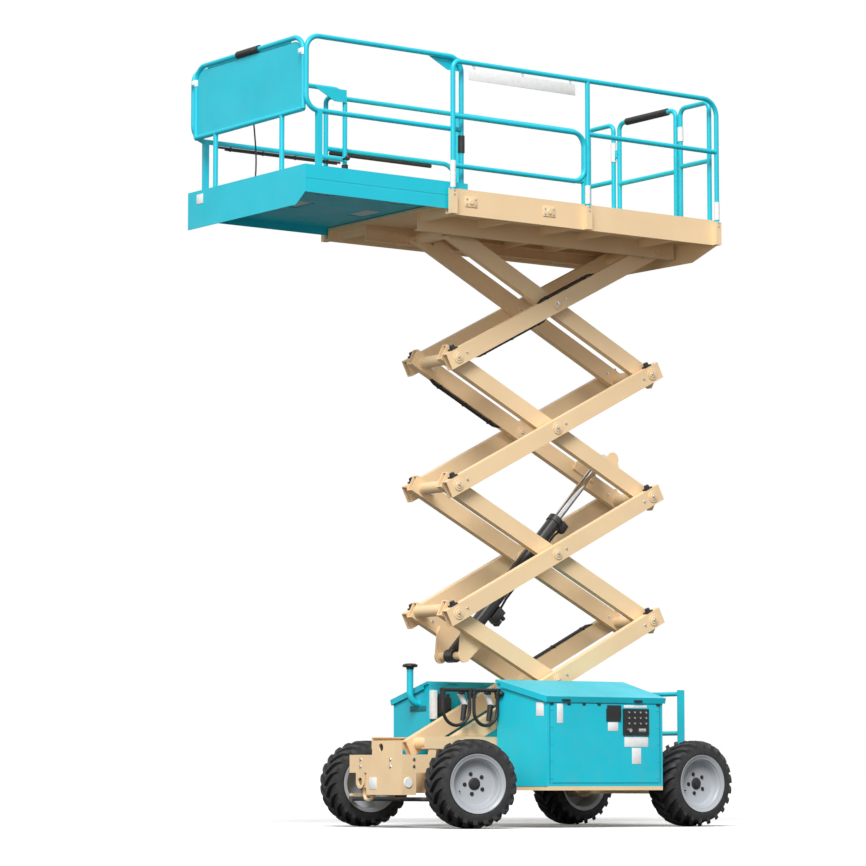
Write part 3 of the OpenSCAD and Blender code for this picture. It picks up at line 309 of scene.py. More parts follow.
def edge_mask(tree, radius):
    """Value near 1 along the piece's edges."""
    rounded = node(tree, "ShaderNodeBevel", samples=4)
    rounded.inputs["Radius"].default_value = radius
    plain = node(tree, "ShaderNodeNewGeometry")
    dot = node(tree, "ShaderNodeVectorMath", operation="DOT_PRODUCT")
    tree.links.new(rounded.outputs["Normal"], dot.inputs[0])
    tree.links.new(plain.outputs["Normal"], dot.inputs[1])
    return spread(tree, dot.outputs["Value"], 0.98, 0.80, 0.0, 1.0)


def low_mask(tree, low, high):
    """Value that rises towards the ground."""
    coords = node(tree, "ShaderNodeTexCoord")
    parts = node(tree, "ShaderNodeSeparateXYZ")
    tree.links.new(coords.outputs["Object"], parts.inputs[0])
    return spread(tree, parts.outputs["Z"], low, high, 1.0, 0.0)


def paint(name, base, rough, coat, wear, dust):
    """Sprayed paint: faint cloudiness, orange peel, rubbed edges and dust low down."""
    material, tree, shader = new_shader(name)
    dark, light = shades(base, 0.93, 1.05)
    tone = ramp(tree, noise(tree, 1.7, 3.0), [(0.3, dark), (0.7, light)])
    patches = spread(tree, noise(tree, 9.0, 6.0, 0.65), 0.45, 0.75, 0.0, dust)
    soil = product(tree, patches, low_mask(tree, 0.2, 1.4))
    tone = blended(tree, soil, tone, (0.36, 0.31, 0.25))
    chips = spread(tree, noise(tree, 38.0, 5.0, 0.7), 0.42, 0.66, 0.0, wear)
    rub = product(tree, edge_mask(tree, 0.006), chips)
    tone = blended(tree, rub, tone, tuple(0.55 * c + 0.32 for c in base))
    tree.links.new(tone, shader.inputs["Base Color"])
    roughened(tree, shader, noise(tree, 5.0, 5.0), rough - 0.06, rough + 0.09)
    shader.inputs["Coat Weight"].default_value = coat
    shader.inputs["Coat Roughness"].default_value = 0.18
    bumped(tree, shader, noise(tree, 240.0, 2.0), 0.06, 0.001)
    return material


def rubber(name, base, grain, rough=0.72):
    """Moulded rubber: mottled, with a fine grain and pale dust in places."""
    material, tree, shader = new_shader(name)
    dark, light, pale = shades(base, 0.75, 1.5, 3.2)
    tone = ramp(tree, noise(tree, 14.0, 6.0, 0.6), [(0.3, dark), (0.62, light), (0.85, pale)])
    tree.links.new(tone, shader.inputs["Base Color"])
    roughened(tree, shader, noise(tree, 30.0, 4.0), rough - 0.12, rough + 0.1)
    bumped(tree, shader, noise(tree, grain, 3.0), 0.25, 0.0015)
    return material


def metal(name, base, rough, brushed):
    """Bare or plated steel with a drawn finish."""
    material, tree, shader = new_shader(name)
    dark, light = shades(base, 0.86, 1.08)
    tone = ramp(tree, noise(tree, 22.0, 5.0), [(0.3, dark), (0.7, light)])
    tree.links.new(tone, shader.inputs["Base Color"])
    shader.inputs["Metallic"].default_value = 1.0
    roughened(tree, shader, noise(tree, 60.0, 3.0, 0.6, brushed), rough * 0.8, rough * 1.3)
    bumped(tree, shader, noise(tree, 300.0, 2.0, 0.5, brushed), 0.04, 0.0005)
    return material


def film(name, base, rough=0.38):
    """Printed film or moulded plastic with a faint mottle."""
    material, tree, shader = new_shader(name)
    dark, light = shades(base, 0.94, 1.03)
    tone = ramp(tree, noise(tree, 25.0, 3.0), [(0.35, dark), (0.65, light)])
    tree.links.new(tone, shader.inputs["Base Color"])
    roughened(tree, shader, noise(tree, 12.0, 3.0), rough - 0.05, rough + 0.1)
    bumped(tree, shader, noise(tree, 420.0, 2.0), 0.05, 0.0005)
    return material


def tread_plate(name, base):
    """Walking surface: painted plate with rows of raised studs and scuffs."""
    material, tree, shader = new_shader(name)
    coords = node(tree, "ShaderNodeTexCoord")
    studs = node(tree, "ShaderNodeTexVoronoi", feature="F1")
    studs.inputs["Scale"].default_value = 34.0
    studs.inputs["Randomness"].default_value = 0.0
    tree.links.new(coords.outputs["Object"], studs.inputs["Vector"])
    dark, light = shades(base, 0.85, 1.05)
    tone = ramp(tree, noise(tree, 3.0, 6.0), [(0.3, dark), (0.7, light)])
    scuff = spread(tree, noise(tree, 18.0, 6.0, 0.7, (1, 4, 1)), 0.55, 0.8, 0.0, 0.5)
    tree.links.new(blended(tree, scuff, tone, (0.2, 0.2, 0.2)), shader.inputs["Base Color"])
    roughened(tree, shader, noise(tree, 8.0), 0.4, 0.62)
    bumped(tree, shader, spread(tree, studs.outputs["Distance"], 0.1, 0.4, 1.0, 0.0), 0.6, 0.003)
    return material


def fit(bm, name, material, body):
    """Keeps a bmesh as a piece on a body, with one of the machine's finishes."""
    piece = keep(bm, name, finishes()[material], body)
    return piece


FINISHES = {}


def finishes():
    """The machine's materials, made once."""
    if not FINISHES:
        chosen = finish()
        FINISHES.update(
            turquoise=paint("turquoise_paint", tuple(chosen.turquoise), 0.42, 0.06, 0.2, 0.12),
            cream=paint("cream_paint", tuple(chosen.cream), 0.50, 0.04, 0.2, 0.15),
            rim=paint("rim_paint", tuple(chosen.rim), 0.38, 0.15, 0.2, 0.15),
            # Turquoise darkened to a third: painted shade for the far hood's recessed slot
            shade=paint("recess_painted_shade", tuple(0.32 * c for c in chosen.turquoise), 0.60, 0.0, 0.1, 0.1),
            tyre=rubber("tyre_rubber", tuple(chosen.tyre), 160.0),
            hose=rubber("hose_rubber", tuple(chosen.hose), 420.0, 0.55),
            plastic=film("black_plastic", tuple(chosen.plastic), 0.45),
            label=film("label_film", tuple(chosen.label)),
            tread=tread_plate("deck_tread", tuple(chosen.tread)),
            zinc=metal("zinc_plate", tuple(chosen.zinc), 0.32, (1, 1, 1)),
            chrome=metal("rod_chrome", (0.72, 0.73, 0.75), 0.12, (1, 1, 12)),
            barrel=paint("barrel_paint", (0.020, 0.020, 0.022), 0.36, 0.15, 0.3, 0.1),
            iron=paint("engine_paint", (0.045, 0.045, 0.050), 0.55, 0.0, 0.3, 0.3),
        )
    return FINISHES


NODE_FINISH = {
    "turquoise_paint": "turquoise", "cream_paint": "cream", "black_plastic": "plastic",
    "black_rubber": "hose", "engine_iron": "iron", "floor_grey": "tread", "rim_grey": "rim",
    "tyre_rubber": "tyre", "cylinder_black": "barrel", "rod_chrome": "chrome", "tie_rod_steel": "iron",
}


class LIFT_OT_paint(bpy.types.Operator):
    """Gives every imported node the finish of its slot"""

    bl_idname = "lift.paint"
    bl_label = "Paint Nodes"

    def execute(self, context):
        made = finishes()
        slots = {part["node"]: part["material_slot"] for part in frame["record"]["subparts"]}
        for name, item in frame["nodes"].items():
            item.data.materials.clear()
            item.data.materials.append(made[NODE_FINISH[slots[name]]])
        return {"FINISHED"}


# Radius at which a tyre sits on its rim
BEAD_RADIUS = 0.198


def tyre_profile(width, radius, bead, lug):
    """Carcass of a tyre as (radius, along) points, from the inner bead to the outer one."""
    half = width / 2
    top = radius - lug
    side = [(bead, 0.84 * half), (bead + 0.012, 0.90 * half), (bead + 0.030, 0.985 * half),
            (bead + 0.060, 0.99 * half), (top - 0.022, 0.93 * half), (top - 0.007, 0.80 * half),
            (top, 0.45 * half)]
    return [(r, -a) for r, a in side] + [(r, a) for r, a in reversed(side)]


def lug_ring(width, radius, lug, count, lean):
    """Ring of slanted lugs, each from the middle of the tread to a shoulder, about the Y axis."""
    half = width / 2
    bm = bmesh.new()
    made = bmesh.ops.create_cube(bm, size=1.0, matrix=Matrix.Translation((0, 0.5, 0.5)))
    along = [e for e in {e for v in made["verts"] for e in v.link_edges}
             if abs(e.verts[0].co.y - e.verts[1].co.y) > 0.5]
    bmesh.ops.subdivide_edges(bm, edges=along, cuts=4)
    for v in bm.verts:
        share, rise = v.co.y, v.co.z
        crown = radius - 0.030 * max(0.0, share - 0.62) ** 2 / 0.1444
        floor = radius - lug - 0.012 - 0.055 * max(0.0, share - 0.70) ** 2 / 0.09
        r = floor + (crown - floor) * rise
        thick = (0.046 - 0.012 * rise) * (0.85 + 0.25 * share)
        angle = v.co.x * thick / radius + lean * share
        v.co = Vector((r * math.sin(angle), (share - 0.03) * half, r * math.cos(angle)))
    high = (radius - 0.6 * lug) ** 2
    crests = [e for e in bm.edges if min(v.co.x ** 2 + v.co.z ** 2 for v in e.verts) > high]
    bmesh.ops.bevel(bm, geom=crests, offset=0.004, offset_type="OFFSET", affect="EDGES", segments=1,
                    profile=0.5, material=-1)
    copy = bmesh.ops.duplicate(bm, geom=bm.verts[:] + bm.edges[:] + bm.faces[:])
    bmesh.ops.transform(bm, matrix=Matrix.Rotation(math.pi / count, 4, "Y") @ Matrix.Diagonal((1, -1, 1, 1)),
                        verts=[v for v in copy["geom"] if isinstance(v, bmesh.types.BMVert)])
    bmesh.ops.spin(bm, geom=bm.verts[:] + bm.edges[:] + bm.faces[:], cent=(0, 0, 0), axis=(0, 1, 0),
                   dvec=(0, 0, 0), angle=math.tau * (count - 1) / count, steps=count - 1, use_duplicate=True)
    return bm


class LIFT_OT_tyres(bpy.types.Operator):
    """Makes the tyres with their carcass and chevron lugs"""

    bl_idname = "lift.tyres"
    bl_label = "Tyres"

    def execute(self, context):
        lug = trim().lug_height
        count = trim().lug_count
        rear_low, rear_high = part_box("near_rear_tyre")
        radius = (rear_high.z - rear_low.z) / 2
        width = rear_high.y - rear_low.y
        for wheel in WHEELS:
            frame_of = wheel_frame(wheel)
            back = frame_of.to_3x3().col[0].x
            bm = lug_ring(width, radius, lug, count, math.copysign(trim().lug_lean, back))
            add_turned(bm, tyre_profile(width, radius, BEAD_RADIUS, lug), 96)
            bmesh.ops.transform(bm, matrix=frame_of, verts=bm.verts)
            piece = keep(bm, wheel + "_tyre_tread", finishes()["tyre"], wheel + "_wheel", 30.0)
            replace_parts(piece, wheel + "_tyre")
        return {"FINISHED"}


def rim_profile():
    """Wall of a rim as a closed outline: recessed disc, stepped barrel and rolled lips."""
    face = [(0.0445, 0.070), (0.150, 0.070), (0.160, 0.075), (0.165, 0.090), (0.171, 0.098), (0.174, 0.118),
            (0.185, 0.126), (0.188, 0.138), (0.204, 0.142), (0.212, 0.150), (0.219, 0.151), (0.2195, 0.146)]
    seat = [(0.213, 0.140), (0.200, 0.136), (0.1975, 0.128), (0.1975, -0.128), (0.200, -0.136),
            (0.213, -0.140)]
    back = [(0.2195, -0.146), (0.219, -0.151), (0.212, -0.150), (0.190, -0.138), (0.186, -0.120),
            (0.186, 0.050), (0.160, 0.058), (0.0445, 0.058)]
    return face + seat + back


# Outline of a hub cap as (radius, along) points, and the ring of wheel bolts around it
HUB_CAP = ((0.0, 0.058), (0.046, 0.058), (0.046, 0.074), (0.040, 0.078), (0.026, 0.079), (0.024, 0.084),
           (0.0, 0.085))
WHEEL_BOLTS = 5
BOLT_RING_RADIUS = 0.076


class LIFT_OT_rims(bpy.types.Operator):
    """Makes the rims with their dished discs, bolts and hubs"""

    bl_idname = "lift.rims"
    bl_label = "Rims"

    def execute(self, context):
        for wheel in WHEELS:
            turn = wheel_frame(wheel)
            bm = bmesh.new()
            add_turned(bm, rim_profile(), 72)
            bmesh.ops.transform(bm, matrix=turn, verts=bm.verts)
            piece = keep(bm, wheel + "_rim_face", finishes()["rim"], wheel + "_wheel", 40.0)
            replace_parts(piece, wheel + "_rim")
            bm = bmesh.new()
            for i in range(WHEEL_BOLTS):
                turned = (i + 0.3) * math.tau / WHEEL_BOLTS
                at = Vector((BOLT_RING_RADIUS * math.sin(turned), 0.0, BOLT_RING_RADIUS * math.cos(turned)))
                add_rod(bm, at + Vector((0, 0.060, 0)), at + Vector((0, 0.0725, 0)), 0.0155, steps=20)
                add_rod(bm, at + Vector((0, 0.072, 0)), at + Vector((0, 0.080, 0)), 0.011, steps=6)
            add_turned(bm, HUB_CAP, 40)
            valve = Vector((0.118, 0.066, -0.052))
            add_rod(bm, valve, valve + Vector((0.004, 0.030, -0.002)), 0.005, steps=12, end_radius=0.0035)
            bmesh.ops.transform(bm, matrix=turn, verts=bm.verts)
            fit(bm, wheel + "_wheel_hub", "plastic", wheel + "_wheel")
        return {"FINISHED"}


def lamp(name, energy, size, at, towards):
    """Round soft lamp at a place, turned towards another."""
    data = bpy.data.lights.new(name, "AREA")
    data.shape = "DISK"
    data.size = size
    data.energy = energy
    item = bpy.data.objects.new(name, data)
    item.location = at
    item.rotation_euler = (Vector(towards) - Vector(at)).to_track_quat("-Z", "Y").to_euler()
    bpy.context.scene.collection.objects.link(item)


class LIFT_OT_stage(bpy.types.Operator):
    """Makes the floor, the light and the camera"""

    bl_idname = "lift.stage"
    bl_label = "Stage"

    def execute(self, context):
        view = context.scene.lift_view
        context.scene.view_settings.view_transform = "Standard"
        bm = bmesh.new()
        bmesh.ops.create_grid(bm, x_segments=1, y_segments=1, size=400.0)
        mesh = bpy.data.meshes.new("floor")
        bm.to_mesh(mesh)
        bm.free()
        floor = bpy.data.objects.new("floor", mesh)
        material, tree, shader = new_shader("floor_white")
        shader.inputs["Roughness"].default_value = 0.9
        shader.inputs["Specular IOR Level"].default_value = 0.1
        shader.inputs["Emission Color"].default_value = (1.0, 1.0, 1.0, 1.0)
        path = node(tree, "ShaderNodeLightPath")
        dull = view.floor_bounce
        seen = ramp(tree, noise(tree, 0.4, 2.0), [(0.0, (0.93, 0.93, 0.93)), (1.0, (0.96, 0.96, 0.96))])
        camera_ray = path.outputs["Is Camera Ray"]
        tree.links.new(blended(tree, camera_ray, (dull, dull, dull), seen), shader.inputs["Base Color"])
        tree.links.new(spread(tree, camera_ray, 0.0, 1.0, 0.0, view.floor_glow),
                       shader.inputs["Emission Strength"])
        mesh.materials.append(material)
        context.scene.collection.objects.link(floor)

        world = bpy.data.worlds.new("studio")
        context.scene.world = world
        world.use_nodes = True
        tree = world.node_tree
        tree.nodes.clear()
        path = node(tree, "ShaderNodeLightPath")
        clear = node(tree, "ShaderNodeMath", operation="MAXIMUM")
        tree.links.new(path.outputs["Is Glossy Ray"], clear.inputs[0])
        tree.links.new(path.outputs["Is Transmission Ray"], clear.inputs[1])
        seen = node(tree, "ShaderNodeMath", operation="MAXIMUM")
        tree.links.new(path.outputs["Is Camera Ray"], seen.inputs[0])
        tree.links.new(clear.outputs[0], seen.inputs[1])
        light = node(tree, "ShaderNodeBackground")
        light.inputs["Color"].default_value = (1.0, 1.0, 1.0, 1.0)
        light.inputs["Strength"].default_value = view.sky
        white = node(tree, "ShaderNodeBackground")
        white.inputs["Color"].default_value = (1.0, 1.0, 1.0, 1.0)
        white.inputs["Strength"].default_value = 1.0
        mix = node(tree, "ShaderNodeMixShader")
        out = node(tree, "ShaderNodeOutputWorld")
        tree.links.new(seen.outputs[0], mix.inputs["Fac"])
        tree.links.new(light.outputs[0], mix.inputs[1])
        tree.links.new(white.outputs[0], mix.inputs[2])
        tree.links.new(mix.outputs[0], out.inputs["Surface"])

        middle = place(-0.6, 0, 2.6)
        sun_data = bpy.data.lights.new("key", "SUN")
        sun_data.energy = view.key
        sun_data.angle = math.radians(25)
        sun = bpy.data.objects.new("key", sun_data)
        sun.rotation_euler = Vector((0.54, 0.62, -0.82)).to_track_quat("-Z", "Y").to_euler()
        context.scene.collection.objects.link(sun)
        lamp("front_fill", 270.0, 6.0, middle + Vector((-9.0, -6.0, 2.4)), middle)

        data = bpy.data.cameras.new("camera")
        data.sensor_width = 36.0
        data.lens = view.lens
        data.clip_end = 900.0
        camera = bpy.data.objects.new("camera", data)
        camera.location = place(*view.eye)
        camera.rotation_euler = (math.pi / 2 + view.pitch, 0.0, -view.yaw)
        context.scene.collection.objects.link(camera)
        context.scene.camera = camera
        return {"FINISHED"}


# Places along the scissor stack

REAR_PIN = Vector(JOINTS["lift"]["pos_m"])
MID_PIN = Vector(JOINTS["outer_1"]["pos_m"])
ARM_SPAN = 2 * (REAR_PIN.x - MID_PIN.x)
STAGE_RISE = 2 * (MID_PIN.z - REAR_PIN.z)
ARM_LENGTH = math.hypot(ARM_SPAN, STAGE_RISE)
ARM_HALF_HEIGHT = 0.065
OUTER_FACE = 0.292
INNER_FACE = 0.160
ARM_HALF_WIDTH = 0.030


def arm_frame(kind, stage):
    """Frame at an arm's middle: X along it to the rear, Y across the machine, Z out of its upper edge."""
    middle = MID_PIN + Vector((0, 0, (stage - 1) * STAGE_RISE))
    rise = STAGE_RISE if kind == "outer" else -STAGE_RISE
    along = Vector((ARM_SPAN, 0, rise)).normalized()
    side = Vector((0, 1, 0))
    turn = Matrix((along, side, along.cross(side))).transposed()
    return Matrix.Translation((middle.x, 0, middle.z)) @ turn.to_4x4()


def add_ball(bm, at, radius):
    bmesh.ops.create_uvsphere(bm, u_segments=20, v_segments=12, radius=radius, matrix=Matrix.Translation(at))


def add_tube(bm, points, radius, steps=12):
    """Round line through points, as rods whose joints are balls."""
    for start, end in zip(points, points[1:]):
        add_rod(bm, start, end, radius, steps=steps)
    for at in points[1:-1]:
        bmesh.ops.create_uvsphere(bm, u_segments=steps, v_segments=8, radius=radius,
                                  matrix=Matrix.Translation(at))


def add_plate(bm, low, high, edge=0.0008):
    """Thin label or plate between two corners."""
    add_box(bm, low, high, edge)


class LIFT_OT_arms(bpy.types.Operator):
    """Adds pin keepers, bolts, stop pads and clipped hoses to the scissor arms"""

    bl_idname = "lift.arms"
    bl_label = "Arm Fittings"

    def execute(self, context):
        half = ARM_LENGTH / 2
        for stage in STAGES:
            for kind, face in (("outer", OUTER_FACE), ("inner", -INNER_FACE)):
                keepers, bolts = bmesh.new(), bmesh.new()
                for side in (-1, 1):
                    out = Vector((0, side if face > 0 else -side, 0))
                    for x in (-half, 0.0, half):
                        at = Vector((x, side * abs(face), 0))
                        add_rod(keepers, at - out * 0.002, at + out * 0.007, 0.044, steps=36)
                        add_rod(keepers, at + out * 0.006, at + out * 0.013, 0.030, steps=32,
                                end_radius=0.027)
                        add_bolt(bolts, at + out * 0.012, out, 0.020)
                        add_bolt(bolts, at + Vector((0.095 if x < half else -0.095, 0, 0)), out, 0.016)
                turn = arm_frame(kind, stage)
                body = f"{kind}_arms_{stage}"
                for bm, name, material, slot in ((keepers, "keepers", "cream", "cream_paint"),
                                                 (bolts, "bolts", "zinc", "tie_rod_steel")):
                    bmesh.ops.transform(bm, matrix=turn, verts=bm.verts)
                    fit(bm, f"{kind}_{stage}_{name}", material, body)
            self.pads(stage, half)
        self.hoses()
        return {"FINISHED"}

    def pads(self, stage, half):
        """Rubber stops on the ends of the outer arms."""
        bm = bmesh.new()
        ends = [-half] * (stage > 1) + [half] * (stage < STAGES[-1])
        for x in ends:
            for side in (-1, 1):
                y, top = side * (OUTER_FACE - ARM_HALF_WIDTH), ARM_HALF_HEIGHT
                add_box(bm, (x - 0.034, y - 0.024, top - 0.001), (x + 0.034, y + 0.024, top + 0.012), 0.002)
                add_rod(bm, (x, y, top + 0.011), (x, y, top + 0.036), 0.024, steps=24, end_radius=0.019)
        if not bm.verts:
            bm.free()
            return
        bmesh.ops.transform(bm, matrix=arm_frame("outer", stage), verts=bm.verts)
        fit(bm, f"outer_{stage}_pads", "plastic", f"outer_arms_{stage}")

    def hoses(self):
        """Hydraulic lines that are clipped along the arms."""
        under, over = -ARM_HALF_HEIGHT - 0.013, ARM_HALF_HEIGHT + 0.013
        near, far = -OUTER_FACE + ARM_HALF_WIDTH, OUTER_FACE - ARM_HALF_WIDTH
        single, pair = (0.0,), (-0.012, 0.012)
        runs = (("outer", 4, near, under, -0.91, -0.12, single), ("outer", 4, near, over, -0.15, 0.46, pair),
                ("outer", 1, far, over, 0.04, 0.90, pair), ("inner", 3, 0.19, under, -0.94, -0.20, pair))
        for number, (kind, stage, y, z, start, end, shifts) in enumerate(runs):
            hose, clips = bmesh.new(), bmesh.new()
            away = math.copysign(1.0, z)
            for shift in shifts:
                line = [(start, y + shift, z - away * 0.016), (start + 0.05, y + shift, z),
                        (end - 0.05, y + shift, z), (end, y + shift, z - away * 0.016)]
                add_tube(hose, [Vector(at) for at in line], 0.0085)
            wide = max(shifts) + 0.013
            for i in range(3):
                x = start + 0.10 + i * (end - start - 0.20) / 2
                add_box(clips, (x - 0.008, y - wide, z - away * 0.014),
                        (x + 0.008, y + wide, z + away * 0.010), 0.002)
            for bm, name, material, slot in ((hose, "line", "hose", "black_rubber"),
                                             (clips, "clips", "plastic", "black_plastic")):
                bmesh.ops.transform(bm, matrix=arm_frame(kind, stage), verts=bm.verts)
                fit(bm, f"arm_{name}_{number}", material, f"{kind}_arms_{stage}")


class LIFT_OT_cylinder(bpy.types.Operator):
    """Adds the lift cylinder's valve block, ports and feed pipe"""

    bl_idname = "lift.cylinder"
    bl_label = "Cylinder Fittings"

    def execute(self, context):
        foot = Vector(JOINTS["barrel_swing"]["pos_m"])
        way = Vector(JOINTS["rod_slide"]["axis"]).normalized()
        side = Vector((0, 1, 0))
        turn = Matrix.Translation(foot) @ Matrix((way, side, way.cross(side))).transposed().to_4x4()
        bm = bmesh.new()
        add_box(bm, (0.46, -0.040, -0.125), (0.58, 0.040, -0.050), 0.004)
        add_box(bm, (0.46, -0.030, -0.153), (0.51, 0.030, -0.120), 0.004)
        add_rod(bm, (0.548, 0.0, -0.120), (0.548, 0.0, -0.165), 0.018, steps=20)
        add_box(bm, (1.44, -0.028, -0.118), (1.52, 0.028, -0.052), 0.004)
        pipe = ((0.565, 0.028, -0.105), (0.70, 0.030, -0.088), (1.40, 0.030, -0.088), (1.46, 0.018, -0.100))
        add_tube(bm, [Vector(at) for at in pipe], 0.009)
        bmesh.ops.transform(bm, matrix=turn, verts=bm.verts)
        fit(bm, "barrel_fittings", "barrel", "lift_barrel")
        return {"FINISHED"}


# Hood trim, from the middle of the wheelbase: each label by its x and z spans, the latches by their x,
# and the front edge of each side's panel
HOOD_FACE = 0.865
HOOD_LABELS = ((-0.369, -0.313, 0.782, 0.926), (0.120, 0.217, 0.726, 0.793), (0.280, 0.511, 0.607, 0.682),
               (0.353, 0.441, 0.478, 0.599), (0.277, 0.500, 0.902, 0.922))
HOOD_LATCHES = (-0.417, -0.255, -0.111, 0.034, 0.610)
HOOD_FRONTS = ((-1, -0.41), (1, -0.60))
FILLER_CROWN = ((0.0, 0.0), (0.030, 0.0), (0.030, 0.014), (0.056, 0.018), (0.060, 0.026), (0.058, 0.036),
                (0.040, 0.044), (0.0, 0.047))


class LIFT_OT_hoods(bpy.types.Operator):
    """Adds labels, vents, latches, seams, controls and fittings to the hoods, and a dark box as painted shade in
    the far hood's slot
    """

    bl_idname = "lift.hoods"
    bl_label = "Hood Trim"

    def execute(self, context):
        thick = trim().label_t
        face = -HOOD_FACE
        labels = bmesh.new()
        for x0, x1, z0, z1 in HOOD_LABELS:
            add_plate(labels, place(x0, face - thick, z0), place(x1, face + thick, z1))
        fit(labels, "hood_labels", "label", "chassis")

        dark = bmesh.new()
        add_box(dark, place(0.111, face - 0.006, 0.825), place(0.247, face + 0.001, 0.921), 0.003)
        for i in range(6):
            z = 0.838 + i * 0.014
            add_box(dark, place(0.119, face - 0.009, z), place(0.239, face - 0.004, z + 0.006), 0.001)
        for side, front in HOOD_FRONTS:
            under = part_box("near_lid" if side < 0 else "far_lid")[0].z
            for x in HOOD_LATCHES:
                add_box(dark, place(x - 0.014, side * 0.862, under - 0.020),
                        place(x + 0.014, side * 0.871, under - 0.005), 0.002)
            for x in (front - 0.024, 0.634):
                add_box(dark, place(x - 0.0015, side * 0.8595, 0.330),
                        place(x + 0.0015, side * 0.8612, 0.935))
        add_rod(dark, place(-0.512, -0.425, 1.006), place(-0.545, -0.425, 1.006), 0.012, steps=20)
        add_ball(dark, place(-0.560, -0.425, 1.006), 0.021)
        fit(dark, "hood_black_trim", "plastic", "chassis")

        bolts = bmesh.new()
        for side, front in HOOD_FRONTS:
            for i in range(5):
                z = 0.372 + i * 0.128
                for x in (front - 0.008, 0.606):
                    add_bolt(bolts, place(x, side * 0.8645, z), (0, side, 0), 0.011)
        fit(bolts, "hood_bolts", "turquoise", "chassis")

        card = bmesh.new()
        add_plate(card, (-thick, -0.037, -0.050), (thick, 0.037, 0.050))
        slant = math.atan2(0.09, 0.50)
        turn = Matrix.Translation(place(-0.4726, -0.790, 0.885)) @ Matrix.Rotation(slant, 4, "Z")
        bmesh.ops.transform(card, matrix=turn, verts=card.verts)
        fit(card, "hood_front_label", "label", "chassis")

        post = bmesh.new()
        add_box(post, place(-0.658, 0.312, 0.824), place(-0.616, 0.362, 1.047), 0.004)
        fit(post, "inner_corner_post", "label", "chassis")
        block = bmesh.new()
        add_box(block, place(-0.600, 0.314, 0.862), place(-0.480, 0.362, 0.990), 0.006)
        for i in range(3):
            x, z = -0.580 + i * 0.040, 0.885 + i * 0.040
            add_rod(block, place(x, 0.330, 0.985), place(x, 0.330, 1.020), 0.013, steps=6)
            add_rod(block, place(-0.600, 0.335, z), place(-0.616, 0.335, z), 0.012, steps=16)
        fit(block, "valve_block", "plastic", "chassis")

        panel = bmesh.new()
        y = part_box("ground_controls")[0].y
        for i in range(4):
            for j in range(3):
                at = place(0.312 + i * 0.056, 0, 0.868 - j * 0.042)
                add_rod(panel, (at.x, y + 0.002, at.z), (at.x, y - 0.009, at.z), 0.0075, steps=24)
        knob = place(0.318, 0, 0.732)
        add_rod(panel, (knob.x, y + 0.002, knob.z), (knob.x, y - 0.020, knob.z), 0.018, steps=28,
                end_radius=0.014)
        key = place(0.410, 0, 0.718)
        add_box(panel, (key.x, y - 0.004, key.z), (key.x + 0.070, y + 0.002, key.z + 0.028), 0.002)
        fit(panel, "ground_buttons", "zinc", "chassis")

        # Thin dark turquoise box on the far hood: painted shade standing for the shade inside its recessed slot
        slot = bmesh.new()
        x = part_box("far_hood")[0].x
        add_box(slot, (x - 0.0015, 0.400, 0.887), (x + 0.022, 0.614, 0.929), 0.001)
        fit(slot, "far_hood_slot_shade", "shade", "chassis")

        cap = bmesh.new()
        low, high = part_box("filler_cap")
        add_turned(cap, FILLER_CROWN, 40)
        at = (low + high) / 2
        turn = Matrix.Translation((at.x, at.y, low.z)) @ Matrix.Rotation(math.pi / 2, 4, "X")
        bmesh.ops.transform(cap, matrix=turn, verts=cap.verts)
        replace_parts(fit(cap, "filler_cap_crown", "plastic", "chassis"), "filler_cap")

        for lid, hood in (("near_lid", -1), ("far_lid", 1)):
            low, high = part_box(lid)
            bm = bmesh.new()
            edge = low.y if hood < 0 else high.y
            for share in (0.22, 0.78):
                x = low.x + share * (high.x - low.x)
                z = low.z + 0.012
                add_box(bm, (x - 0.040, edge - 0.003, z - 0.004), (x + 0.040, edge + 0.003, z + 0.012), 0.002)
            fit(bm, lid + "_catches", "plastic", lid)
        return {"FINISHED"}


class LIFT_OT_nose(bpy.types.Operator):
    """Adds bolts, the reflector, the hook and the label to the chassis nose, and a black disc as painted shade
    inside its hole
    """

    bl_idname = "lift.nose"
    bl_label = "Nose Trim"

    def execute(self, context):
        front, side = -1.420, -0.340
        bolts = bmesh.new()
        for z in (0.511, 0.459):
            for y in (0.194, -0.194):
                add_bolt(bolts, place(front, y, z), (-1, 0, 0), 0.018)
            add_bolt(bolts, place(-1.311, side, z), (0, -1, 0), 0.018)
            add_bolt(bolts, place(-1.311, -side, z), (0, 1, 0), 0.018)
        fit(bolts, "nose_bolts", "zinc", "chassis")
        plates = bmesh.new()
        add_plate(plates, place(front - 0.003, -0.014, 0.290), place(front + 0.001, 0.077, 0.376))
        add_rod(plates, place(-1.364, side + 0.001, 0.338), place(-1.364, side - 0.008, 0.338), 0.039,
                steps=40, end_radius=0.036)
        fit(plates, "nose_plates", "label", "chassis")
        # Black disc inside the nose's hole: painted shade, standing for the shade deep in the hole
        dark = bmesh.new()
        add_rod(dark, place(front + 0.0145, -0.070, 0.5985), place(front + 0.020, -0.070, 0.5985), 0.036,
                steps=32)
        fit(dark, "nose_hole_shade", "plastic", "chassis")
        hook = bmesh.new()
        bend = ((0.100, 0.262), (0.112, 0.222), (0.150, 0.206), (0.196, 0.214), (0.214, 0.246),
                (0.212, 0.300))
        add_tube(hook, [place(front + 0.050, y, z) for y, z in bend], 0.014, 16)
        fit(hook, "nose_hook", "cream", "chassis")
        return {"FINISHED"}


def add_cord(name, points, diameter, body):
    """Free line as one open spline, riding on a body."""
    data = bpy.data.curves.new(name, "CURVE")
    data.dimensions = "3D"
    data.bevel_depth = diameter / 2
    data.bevel_resolution = 6
    data.use_fill_caps = True
    spline = data.splines.new("POLY")
    spline.points.add(len(points) - 1)
    for point, at in zip(spline.points, points):
        point.co = (*at, 1.0)
    item = bpy.data.objects.new(name, data)
    data.materials.append(finishes()["hose"])
    bpy.context.scene.collection.objects.link(item)
    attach(item, body)


